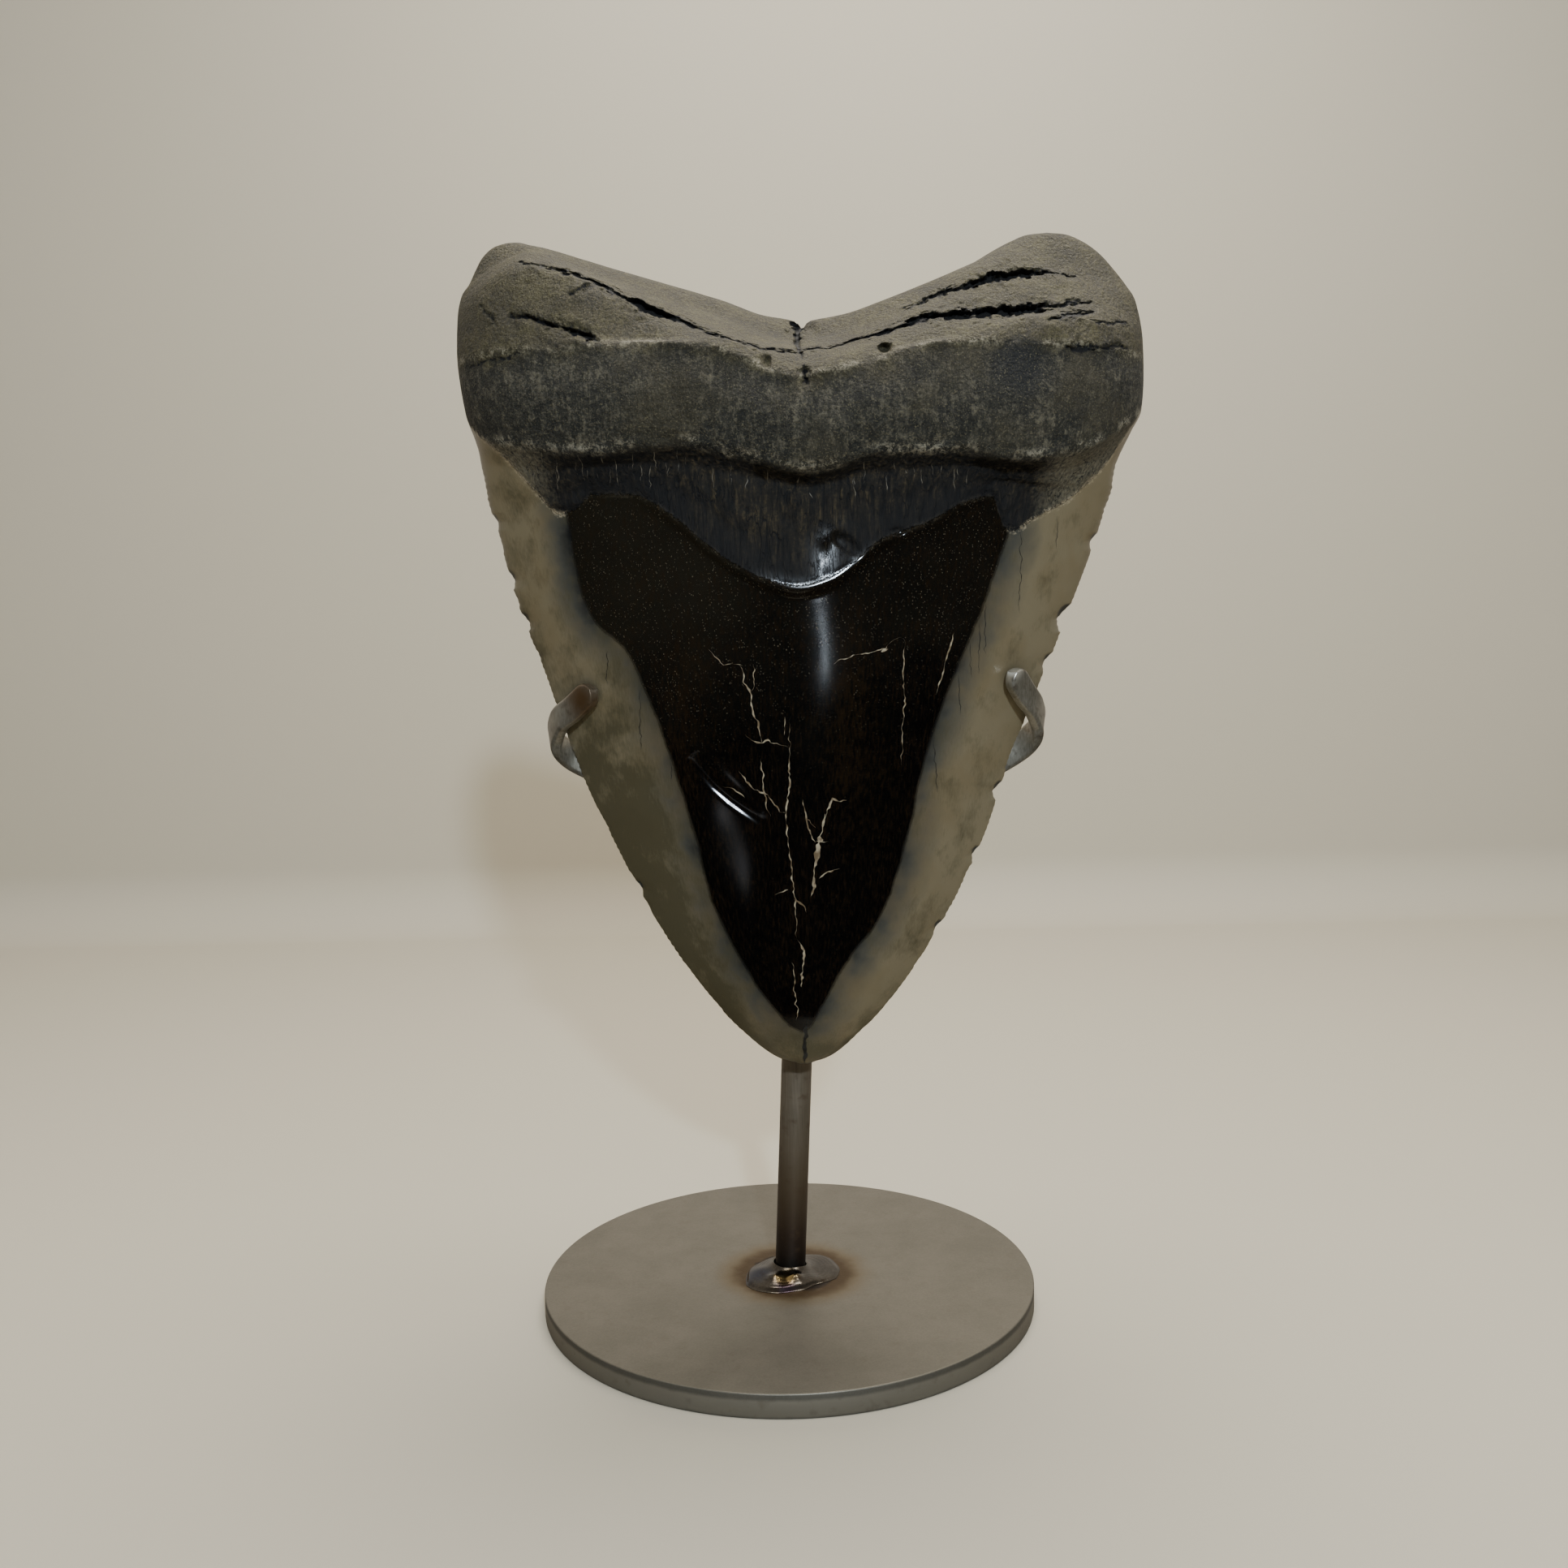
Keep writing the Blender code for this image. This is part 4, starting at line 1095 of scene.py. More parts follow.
        # Down in the notch the neck darkens, so that its edge melts into the polish.
        dim = add("MapRange", {0: p["collar"], 1: 0.0, 2: 10.0, 3: 0.85, 4: 0.0})
        bare = add("Math", {0: 1.0, 1: p["flank"]}, operation="SUBTRACT")
        dim = add("Math", {0: dim, 1: bare}, operation="MULTIPLY")
        for share in (crack, dim):
            colour = add("Mix", {0: share, 6: colour, 7: linear(self.crack_dark)}, out=2,
                         data_type="RGBA")
        return colour, crack

    def dentine_colour(self) -> Socket:
        """Colour of the polished dentine: black, with brown fibres and pale flecks."""
        add, p = self.tree[1], self.patterns
        over = {"data_type": "RGBA", "out": 2}
        grey = add("Math", {0: p["patch"], 1: p["haze"]}, operation="ADD")
        grey = add("MapRange", {0: grey, 1: 0.7, 2: 1.6})
        colour = add("Mix", {0: grey, 6: linear(self.dentine_dark),
                             7: linear(self.dentine_grey)}, **over)
        warm = sum_patterns(add, (p["fine"], 1.0), (p["mottle"], 0.3), (p["grain"], 0.1))
        colour = lay_colours(add, colour, (warm, 0.63, 0.86, 0.7, self.dentine_brown))
        share = add("MapRange", {0: p["streak"], 1: 0.38, 2: 0.6, 3: 0.03, 4: 0.4})
        share = add("Math", {0: p["fleck"], 1: share}, operation="MULTIPLY")
        return add("Mix", {0: share, 6: colour, 7: linear(self.dentine_fleck)}, **over)

    def enamel_colour(self) -> Socket:
        """Colour of the enamel, which darkens to blue-grey towards the dentine."""
        add, p = self.tree[1], self.patterns
        soft = sum_patterns(add, (p["mottle"], 6.0), (p["patch"], 6.0), start=-3.0)
        away = add("Math", {0: soft, 1: p["polish"]}, operation="SUBTRACT")
        away = add("MapRange", {0: away, 1: 1.6, 2: 15.0})
        colour = add("ValToRGB", {0: away}, ramp=tuple(zip((0.0, 0.2, 0.62), self.enamel)))
        line = add("MapRange", {0: p["fine"], 1: 0.3, 2: 0.7, 3: 0.12, 4: -0.08})
        stain = sum_patterns(add, (p["mottle"], 1.4), start=line)
        stain = add("Math", {0: stain, 1: p["stain"]}, operation="ADD")
        return lay_colours(add, colour, (p["patch"], 0.46, 0.6, 0.4, self.enamel_brown),
                           (stain, 0.8, 1.24, 0.85, self.enamel_stain),
                           (p["chip"], 0.04, 0.3, 0.8, self.chip_face))

    def with_grit_lines(self, colour: Socket, edge: Socket, on_dentine: Socket) -> Socket:
        """Add pale broken grit along the enamel's edge, the ledge's crest and the brow.

        Args:
            colour: The colour underneath.
            edge: Height above the bare neck's ragged lower edge.
            on_dentine: Where the polished dentine is.

        Returns:
            The colour with its grit.
        """
        add, p = self.tree[1], self.patterns
        broken = add("Math", {0: p["dust"], 1: p["grit"]}, operation="ADD")
        broken = sum_patterns(add, (p["scale"], 0.45), start=broken)
        broken = add("MapRange", {0: broken, 1: 1.16, 2: 1.42})
        patchy = add("MapRange", {0: p["mottle"], 1: 0.45, 2: 0.58, 4: 0.8})
        off_dentine = add("MapRange", {0: on_dentine, 3: 0.9, 4: 0.06})
        crest = add("Math", {0: p["ledge"], 1: 0.4}, operation="SUBTRACT")
        brow = add("Math", {0: p["brow"], 1: 0.6}, operation="SUBTRACT")
        for place, reach, share, tone in (
            (edge, 0.75, off_dentine, self.grit), (crest, 1.4, patchy, self.ridge),
            (brow, 1.1, patchy, self.ridge),
        ):
            off = add("Math", {0: place}, operation="ABSOLUTE")
            amount = add("MapRange", {0: off, 1: reach, 2: 0.15 * reach})
            for factor in (broken, share):
                amount = add("Math", {0: amount, 1: factor}, operation="MULTIPLY")
            colour = add("Mix", {0: amount, 6: colour, 7: linear(tone)}, out=2,
                         data_type="RGBA")
        return colour

    def bump_height(self, neck_crack: Socket, on_bone: Socket, on_root: Socket,
                    on_dentine: Socket) -> Socket:
        """Work out the fine relief: gritty bone, a cracked neck and an all but flat crown.

        Args:
            neck_crack: Where the neck's cracks are.
            on_bone: Where the bare bone is.
            on_root: Where the root is.
            on_dentine: Where the polished dentine is.

        Returns:
            The relief, in millimetres.
        """
        add, p = self.tree[1], self.patterns
        root = sum_patterns(add, (p["grit"], 0.7), (p["streak"], 0.3), (p["scale"], 0.16))
        neck = sum_patterns(add, (p["streak"], 0.6), (neck_crack, -0.2))
        ground = add("MapRange", {0: p["gloss"], 3: 1.0, 4: 0.16})
        neck = add("Math", {0: neck, 1: ground}, operation="MULTIPLY")
        bone = add("Mix", {0: on_root, 2: neck, 3: root})
        dentine = sum_patterns(add, (p["crackle"], 0.0008), start=0.001)
        dentine = add("Math", {0: p["dust"], 1: dentine}, operation="MULTIPLY")
        enamel = add("Math", {0: p["streak"], 1: 0.04}, operation="MULTIPLY")
        crown = add("Mix", {0: on_dentine, 2: enamel, 3: dentine})
        return add("Mix", {0: on_bone, 2: crown, 3: bone})


@dataclass(frozen=True)
class MineralInlay:
    """Mineral that fills a crack, ground flush with the crown, and just off its gloss."""

    name: str
    colour: str
    stain: str
    roughness: float

    def build(self) -> Material:
        """Build the finish."""
        material, add = new_material(self.name)
        objects = add("TexCoord", out=3)
        noise = add("TexNoise", {"Vector": objects, "Scale": 900.0, "Detail": 3.0})
        colour = add("ValToRGB", {0: noise}, ramp=((0.38, self.stain), (0.6, self.colour)))
        shader = add("BsdfPrincipled", {"Base Color": colour, "Roughness": self.roughness})
        add("OutputMaterial", {"Surface": shader})
        return material


@dataclass(frozen=True)
class OxideAndHighlightTint:
    """Oxide colours that welding leaves, from straw through brown to blue-black, and rust; the same
    tint also lays painted highlights and painted sheen.

    Each stop is the reach of full colour, the reach where it ends, and the colour.
    """

    centre: Place
    stops: tuple[tuple[float, float, str], ...]
    axis_weights: Place = EVEN
    wander: float = 3.0

    def lay(self, add: AddNode, place: Socket, colour: Socket) -> Socket:
        """Lay the tint over a base colour: oxide, rust, a painted highlight or a painted sheen.

        Args:
            add: Adds a node to the material's tree.
            place: Object coordinates in millimetres.
            colour: The bare metal's colour.

        Returns:
            The tinted colour.
        """
        off = add("VectorMath", {0: place, 1: self.centre}, operation="SUBTRACT")
        off = add("VectorMath", {0: off, 1: self.axis_weights}, operation="MULTIPLY")
        away = add("VectorMath", {0: off}, out=1, operation="LENGTH")
        wander = add("TexNoise", {"Vector": place, "Scale": 0.3, "Detail": 4.0})
        away = sum_patterns(add, (wander, self.wander), start=away)
        middle = self.wander / 2
        layers = ((away, far + middle, near + middle, 1.0, tone) for near, far, tone in self.stops)
        return lay_colours(add, colour, *layers, interpolation_type="SMOOTHSTEP")


@dataclass(frozen=True)
class MildSteel:
    """Bare mild steel, cut from plate or bar and rubbed down, under a thin dull oxide.

    Rubbing leaves fine lines one way, and heat or damp leaves brown patches. The oxide
    takes some of the metal's mirror away, which is why it isn't wholly metallic.
    """

    name: str
    bright: str
    dull: str
    rust: str
    rust_share: float
    roughness: float
    metallic: float
    grain: Place = EVEN
    tints: tuple[OxideAndHighlightTint, ...] = ()

    def build(self) -> Material:
        """Build the finish."""
        material, add = new_material(self.name)
        place = add("Mapping", {"Vector": add("TexCoord", out=3), "Scale": (PER_METRE,) * 3})
        brushed = add("Mapping", {"Vector": place, "Scale": self.grain})
        # Rubbed lines 0.4 mm apart, clouds of 9 mm and rust spots of 2 mm.
        lines, cloud, spots = (
            add("TexNoise", {"Vector": vector, "Scale": scale, "Detail": detail})
            for vector, scale, detail in ((brushed, 2.6, 4.0), (place, 0.11, 6.0), (place, 0.5, 6.0))
        )
        blend = sum_patterns(add, (lines, 0.4), (cloud, 0.6))
        colour = add("ValToRGB", {0: blend}, ramp=((0.36, self.dull), (0.62, self.bright)))
        for tint in self.tints:
            colour = tint.lay(add, place, colour)
        colour = lay_colours(add, colour, (spots, 0.56, 0.74, self.rust_share, self.rust))
        rough = add("MapRange", {0: blend, 3: self.roughness + 0.12, 4: self.roughness - 0.08})
        height = add("Math", {0: lines, 1: 0.02}, operation="MULTIPLY")
        normal = add("Bump", {"Height": height, "Distance": MM})
        shader = add("BsdfPrincipled", {"Base Color": colour, "Roughness": rough,
                                        "Metallic": self.metallic, "Normal": normal})
        add("OutputMaterial", {"Surface": shader})
        return material


@dataclass(frozen=True)
class StudioPaper:
    """Matt seamless paper under and behind the object."""

    colour: str
    roughness: float = 0.85

    def build(self) -> Material:
        """Build the finish."""
        material, add = new_material("seamless_studio_paper")
        shader = add("BsdfPrincipled", {"Base Color": linear(self.colour),
                                        "Roughness": self.roughness})
        add("OutputMaterial", {"Surface": shader})
        return material


# --- the tooth -----------------------------------------------------------------------


@dataclass(frozen=True)
class Vein:
    """A filled crack in the crown, as (x, z) points, with its greatest width."""

    route: Route
    width: float


@dataclass
class Tooth:
    """The tooth and the mineral veins and hairline cracks that show in its crown."""

    form: ToothForm = ToothForm()
    columns: int = 120
    rim_crowding: float = 0.55
    merge: float = 0.004
    # What is divided finer: the neck from this far below its edge, and all that lies this
    # near to the groove's wall, to a crack, or to the lip's middle so far below the edge.
    below_collar: float = 3.0
    beside_groove: float = 1.8
    beside_crack: float = 0.7
    lip_middle: float = 1.1
    beside_lip: float = 1.8
    pits: int = 4
    pit_edge: float = 0.1
    rim_passes: int = 2
    # A vein's steps, its width on the crown, how far it stands proud, and its root.
    vein_step: float = 0.25
    vein_scale: float = 0.85
    vein_proud: float = 0.03
    vein_sunk: float = 0.25
    in_front: float = -60.0
    blotch: Dimple = Dimple(43.4, 184.6, 6.0, 7.4, -12.0, 0.75)
    veins: tuple[Vein, ...] = (
        Vein(((-6.6, 133), (-6, 130), (-4.7, 127.2), (-4.7, 124.9), (-3.8, 122.5), (-3.2, 119.1),
            (-3.1, 118.5)), 0.42),
        Vein(((-4, 133.1), (-4.2, 129.5), (-4.7, 127.5)), 0.34),
        Vein(((-6.2, 120), (-4.9, 119.1), (-3.1, 118.5), (-1.6, 119.1), (0.2, 118),
            (1.8, 117.8)), 0.36),
        Vein(((2.3, 123.6), (2, 120.4), (2.2, 116.9), (2, 112.7), (1.6, 109.3), (1, 105.9), (1.3, 101),
            (2.1, 94.7), (2.5, 89.2), (2.7, 84.9), (2.8, 80.8)), 0.34),
        Vein(((2.6, 88.9), (3.6, 87.8), (4.9, 86.3)), 0.42),
        Vein(((2.8, 81), (4, 78.4), (4.1, 76.6), (3.6, 74.9), (3.4, 71.1)), 0.5),
        Vein(((1.8, 76.3), (2.2, 73.1), (2, 70.7), (2.6, 66.4), (2.5, 63.8)), 0.3),
        Vein(((12.4, 107.6), (11, 107.4), (9.7, 108.2), (8.9, 105.5), (8, 102.9)), 0.42),
        Vein(((8.6, 105), (8, 102.6), (7.5, 100.5), (6.8, 98.6), (6.6, 96.2), (6.3, 93.6), (6, 91.2),
            (5.5, 89.1)), 1.25),
        Vein(((4.5, 107.9), (4.9, 105.1), (5.3, 102), (6.3, 99.6)), 0.5),
        Vein(((5.2, 104.3), (6.8, 102.6)), 0.5),
        Vein(((7.2, 92.6), (8, 93.6), (9.4, 93.9), (10.9, 94.6)), 0.34),
        Vein(((6.7, 99.8), (9, 99.7)), 0.3),
        Vein(((-7.3, 113.3), (-6, 111.3), (-5, 110.3), (-3.5, 109.4), (-2.1, 108.9), (-1, 107.5),
            (0.1, 105.6), (1, 105.6)), 0.4),
        Vein(((-3.5, 115.8), (-2.9, 112.9), (-2.7, 109.4), (-2.3, 106.1), (-1.9, 104.7)), 0.3),
        Vein(((-10.6, 110.2), (-8.4, 109.8), (-6.5, 108.1)), 0.26),
        Vein(((22.3, 137.3), (23.4, 137.2), (23.3, 132.8), (23.3, 127.7), (23.4, 122.6), (22.9, 120.5),
            (23.1, 117.9), (22.8, 113.6)), 0.26),
        Vein(((10.3, 133.1), (15.2, 134.5), (19.1, 135.1), (22.3, 137.3)), 0.2),
        Vein(((19, 135), (20.3, 135.5)), 0.9),
        Vein(((-12.4, 135.9), (-9.6, 133), (-6.2, 133)), 0.2),
        Vein(((32.9, 137.9), (31.1, 131.7), (29.4, 126.6)), 0.34),
        Vein(((-1.2, 89.7), (0, 90), (1.3, 90.6)), 0.3),
        Vein(((1.3, 123.4), (1.3, 120)), 0.16),
    )
    hairlines: tuple[Vein, ...] = (
        Vein(((45.6, 156.7), (45.9, 149), (45.8, 141.4)), 0.2),
        Vein(((52.9, 159.2), (53, 156), (52.9, 153.1)), 0.16),
        Vein(((38.9, 143.6), (38.9, 138), (39.1, 133.5)), 0.22),
        Vein(((37.7, 139.8), (37.8, 135), (37.9, 130.1)), 0.2),
        Vein(((36.1, 136.3), (36.3, 129.5)), 0.16),
        Vein(((34.1, 130.2), (34.1, 126), (34.3, 122.5)), 0.2),
        Vein(((29.3, 118.9), (29.4, 113), (30, 107.9)), 0.26),
        Vein(((-31.7, 136.1), (-31.8, 133), (-32.1, 129.6)), 0.2),
        Vein(((-25.7, 128.5), (-25.9, 122), (-25.8, 116.6)), 0.24),
        Vein(((-20.1, 115), (-20.3, 111.3)), 0.18),
        Vein(((4.3, 63.6), (4.2, 60), (4, 56), (4, 53.5)), 1.1),
    )
    # Rows of scratches: first x, spacing, count.
    scratch_rows: Route = ((-46.5, 1.35, 24), (15.0, 1.7, 13), (-11.0, 3.1, 9))

    def build(self) -> None:
        """Model and dress the tooth, then lay its veins."""
        piece = self.add_sheets()
        self.refine(piece)
        write_points(piece, self.form.surface(*self.grid_places(piece)))
        self.measure(piece)
        tree = BVHTree.FromPolygons([vert.co.copy() for vert in piece.data.vertices],
                                    [tuple(face.vertices) for face in piece.data.polygons])
        finish_piece(piece, "tooth_polished", FossilTooth().build(), ("tooth",), 46.0)
        cream = MineralInlay("calcite_vein_fill", "#aa9f88", "#66563f", 0.4)
        dark = MineralInlay("hairline_crack_stain", "#2b2b29", "#15130f", 0.5)
        bone = MineralInlay("scratched_bone", "#726c60", "#4c483f", 0.6)
        for name, veins, inlay, seed, torn in (
            ("tooth_veins", self.veins, cream, 5, 0.7),
            ("tooth_hairlines", self.hairlines, dark, 9, 0.3),
            ("neck_scratches", self.scratches(), bone, 13, 0.7),
        ):
            self.lay_veins(tree, veins, name, inlay.build(), seed, torn)

    def add_sheets(self) -> Piece:
        """Add a grid for the front and one for the back, joined along the rim."""
        activate()
        rows = self.form.row_levels()
        last = len(rows) - 1
        sheets = []
        for facing in (-1.0, 1.0):
            bpy.ops.mesh.primitive_grid_add(
                x_subdivisions=self.columns, y_subdivisions=last, size=2.0
            )
            sheet = bpy.context.object
            flat = read_each(sheet.data.vertices, "co", 3)
            even = flat[:, 0]
            u = self.rim_crowding * np.sin(even * math.pi / 2) + (1 - self.rim_crowding) * even
            index = np.rint((flat[:, 1] + 1) / 2 * last).astype(int)
            on_rim = (np.abs(even) > 1 - 1e-6) | (index == 0) | (index == last)
            side = np.where(on_rim, 0.0, facing)
            for name, values in zip(GRID, (rows[index], u, side)):
                self.write_attribute(sheet, name, values)
            write_points(sheet, np.stack([u, side, rows[index]], 1))
            sheets.append(sheet)
        front, back = sheets
        activate(back)
        with editing(action="SELECT"):
            bpy.ops.mesh.flip_normals()
        front.select_set(True)
        bpy.context.view_layer.objects.active = front
        bpy.ops.object.join()
        with editing(action="SELECT"):
            bpy.ops.mesh.remove_doubles(threshold=self.merge)
        return front

    @staticmethod
    def write_attribute(piece: Piece, name: str, values: Array) -> None:
        """Give each vertex a number."""
        layer = piece.data.attributes.get(name) or piece.data.attributes.new(
            name, "FLOAT", "POINT"
        )
        layer.data.foreach_set("value", np.ascontiguousarray(values, np.float32))

    @staticmethod
    def grid_places(piece: Piece) -> list[Array]:
        """Each vertex's level, share of the half width, and facing."""
        return [read_each(piece.data.attributes[name].data, "value") for name in GRID]

    def refine(self, piece: Piece) -> None:
        """Divide the mesh where the surface is rough, and the edges that are serrated."""
        for by, choose in (
            ("FACE", self.rough_faces), ("FACE", self.crack_faces),
            *[("EDGE", self.rim_edges)] * self.rim_passes,
        ):
            pick(piece, by, choose(piece))
            with editing():
                bpy.ops.mesh.subdivide(number_cuts=1, smoothness=0.0)

    def front_faces(self, piece: Piece) -> tuple[Array, Array, Array]:
        """The x and z in the middle of each face, and whether it is on the front."""
        level, u, facing = self.grid_places(piece)
        starts = read_each(piece.data.polygons, "loop_start", kind=int)
        corners = read_each(piece.data.loops, "vertex_index", kind=int)
        counts = np.diff(np.append(starts, len(corners)))
        x, z, facing = (np.add.reduceat(values[corners], starts) / counts
                        for values in (*self.form.plan(level, u), facing))
        return x, z, facing < 0

    def rough_faces(self, piece: Piece) -> Array:
        """Choose the faces of the front's root and neck, and beside the groove's wall."""
        x, z, front = self.front_faces(piece)
        rough = self.form.above_collar(x, z) > -self.below_collar
        return front & (rough | self.streak_zone(x, z))

    def streak_zone(self, x: Array, z: Array) -> Array:
        """Places beside the groove's steep wall."""
        return near_route(self.form.streak_groove, x, z)[0] < self.beside_groove

    def crack_faces(self, piece: Piece) -> Array:
        """Choose the faces beside an open crack, the groove's wall, the lip or a pit."""
        x, z, front = self.front_faces(piece)
        gap, _ = self.form.fissure_gap(x, z)
        near = (gap < self.beside_crack) | self.streak_zone(x, z)
        near |= np.abs(self.form.above_collar(x, z) + self.lip_middle) < self.beside_lip
        for dimple in self.form.dimples[:self.pits]:
            near |= self.form.hollow(dimple, x, z) > self.pit_edge
        return front & near

    def rim_edges(self, piece: Piece) -> Array:
        """Choose the edges that run along the blade's cutting edges, near the rim."""
        level, u, _ = self.grid_places(piece)
        first, second = read_each(piece.data.edges, "vertices", 2, int).T
        along = (np.abs(u[first] - u[second]) < 1e-5) & (level[first] != level[second])
        on_rim = np.abs(u[first]) > 1 - 1.6 * self.form.serration_reach
        below_root = np.maximum(level[first], level[second]) < self.form.level_of["ledge"]
        return along & on_rim & below_root

    def measure(self, piece: Piece) -> None:
        """Write the distances that the finish reads, and the masks of its tones."""
        form = self.form
        x, _, z = read_each(piece.data.vertices, "co", 3).T
        back = self.grid_places(piece)[2] > 0
        collar = np.where(back, z - line_height(form.collar_edge_back, x),
                          form.above_collar(x, z))
        polish = signed_inside(form.polish_outline, x, z)
        gap, _ = form.fissure_gap(x, z)
        # Enamel stains lie low on the left and round the tip.
        off = np.where(back, 9.0, -polish)
        low_left = smoothstep(0, -12, x) * (0.16 + 0.4 * smoothstep(132, 104, z)
                                            * smoothstep(2, 9, off))
        stain = low_left + 0.34 * smoothstep(68, 56, z) + 0.08 * smoothstep(150, 120, z)
        # The lip gleams down in the notch, and along its edge.
        gleam = bell(x, 9.2, 2.6) * smoothstep(11, 6, collar)
        lip = bell(collar, 0.2, 1.2) * smoothstep(-6, 2, x) * smoothstep(19, 12, x)
        grain = (bell(x, -18, 3.5) + bell(x, 13, 4.5)) * smoothstep(98, 112, z)
        measured = {
            "collar": collar,
            "polish": np.where(back, -14.0, polish),
            "ledge": np.where(back, collar + 3.0, z - form.height_of("ledge", x)),
            "brow": np.where(back, collar - 6.0, z - form.height_of("brow", x)),
            "fissure": np.where(back, FAR, gap),
            "blotch": np.where(back, 0.0, form.hollow(self.blotch, x, z)),
            "flank": smoothstep(38, 50, np.abs(x - 4)),
            "stain": stain,
            "chip": form.chip_scallop(x, z),
            "gloss": np.maximum(gleam, lip),
            "haze": smoothstep(104, 152, z) * (0.55 + 0.45 * smoothstep(6, -14, x)),
            "grain": grain * smoothstep(146, 134, z),
            "crackle": np.exp(-(((x - 8) / 4) ** 2) - ((z - 137) / 5) ** 2),
        }
        for name in MEASURES:
            self.write_attribute(piece, name, measured[name])
        for name in GRID:
            piece.data.attributes.remove(piece.data.attributes[name])

    def scratches(self) -> tuple[Vein, ...]:
        """Scatter pale upright scratches that hang below the ledge."""
        chance = np.random.default_rng(11)
        found = []
        for start, pitch, count in self.scratch_rows:
            for x in start + pitch * (np.arange(count) + chance.uniform(-0.4, 0.4, count)):
                top = float(self.form.height_of("ledge", x))
                top -= chance.uniform(0.6, 3.6)
                low = top - chance.uniform(1.0, 4.6)
                lean = chance.uniform(-0.25, 0.25)
                found.append(Vein(((x, top), (x + lean, low)), chance.uniform(0.12, 0.24)))
        return tuple(found)

    def lay_veins(self, tree: BVHTree, veins: tuple[Vein, ...], name: str,
                  material: Material, seed: int, torn: float) -> None:
        """Set thin closed slivers into the surface along each vein.

        Args:
            tree: The tooth's surface, in millimetres.
            veins: The veins to lay.
            name: The piece's name.
            material: Its finish.
            seed: Picks the wander of the edges.
            torn: How unevenly wide the slivers are.
        """
        verts, faces = [], []
        for number, vein in enumerate(veins, seed):
            x, z, half, heading = self.vein_path(vein, number, torn)
            first, count = len(verts), len(x)
            for i in range(count):
                for side, rise in ((-half[i], -self.vein_proud / 2), (0.0, -self.vein_proud),
                                   (half[i], -self.vein_proud / 2), (0.0, self.vein_sunk)):
                    px = x[i] - heading[i, 1] * side
                    pz = z[i] + heading[i, 0] * side
                    hit = tree.ray_cast(Vector((px, self.in_front, pz)), Vector((0, 1, 0)))[0]
                    verts.append((px, hit.y + rise, pz))
            faces += ring_faces(first, 4, count, count - 1)
            faces.append(tuple(range(first, first + 4)))
            faces.append(tuple(reversed(range(first + 4 * (count - 1), first + 4 * count))))
        piece = add_solid_mesh(name, verts, faces)
        finish_piece(piece, name, material)

    def vein_path(self, vein: Vein, seed: int, torn: float
                  ) -> tuple[Array, Array, Array, Array]:
        """Draw a vein that wanders and narrows as a real crack does.

        Args:
            vein: The vein.
            seed: Picks its wander.
            torn: How unevenly wide it is.

        Returns:
            The x, z and half width at each step, and the way that it heads there.
        """
        route = np.array(vein.route, float)
        along = distance_along(route)
        at = np.linspace(0, along[-1], max(4, int(along[-1] / self.vein_step)))
        x, z = (np.interp(at, along, column) for column in route.T)
        heading = np.stack([np.gradient(x), np.gradient(z)], 1)
        heading /= np.linalg.norm(heading, axis=1)[:, None]
        sway = 0.2 * waver(at, 1.1, seed) + 0.14 * waver(at, 0.55, seed + 80)
        share = at / along[-1]
        taper = np.clip(np.minimum(share, 1 - share) * 6, 0.12, 1.0)
        rough = 0.85 - 0.5 * torn + torn * waver(at, 0.7, seed + 40)
        half = self.vein_scale * vein.width / 2 * taper * np.clip(rough, 0.12, 1.1)
        return x - heading[:, 1] * sway, z + heading[:, 0] * sway, half, heading


# --- the stand -----------------------------------------------------------------------


@dataclass
class BasePlate:
    """Round plate, its rim turned and its edges lightly broken."""

    radius: float = 50.8
    thickness: float = 4.76
    edge_break: float = 0.3
    sides: int = 256
    heat_centre: tuple[float, float] = (0.9, -0.3)

    def build(self) -> None:
        """Model and dress the plate, tinted round its weld, with a painted sheen that lightens its
        side.
        """
        plate = add_cylinder(self.radius, self.sides, 0.0, self.thickness)
        bevel = plate.modifiers.new("edge_break", "BEVEL")
        bevel.width = self.edge_break
        bevel.segments = 3
        bevel.limit_method = "ANGLE"
        bevel.angle_limit = math.radians(40)
        activate(plate)
        bpy.ops.object.modifier_apply(modifier=bevel.name)
        heat = OxideAndHighlightTint((*self.heat_centre, self.thickness), (
            (11.5, 18.0, "#746750"), (10.6, 14.2, "#4d3c25"), (8.4, 9.8, "#221910")),
            (1.0, 1.0, 0.2))
        # Painted sheen: a lighter band round the plate's side, in place of the bright floor that the
        # side would mirror.
        painted_side_sheen = OxideAndHighlightTint((0.0, 0.0, 1.9), ((1.2, 2.0, "#a59d8c"),), (0.0, 0.0, 1.0), 0.5)
        steel = MildSteel("mild_steel_plate_rubbed", "#7f7a6e", "#747064", "#6a6052", 0.25,
                          0.46, 0.7, tints=(heat, painted_side_sheen))
        finish_piece(plate, "base_plate_rubbed", steel.build(), ("base_plate",), 40.0)


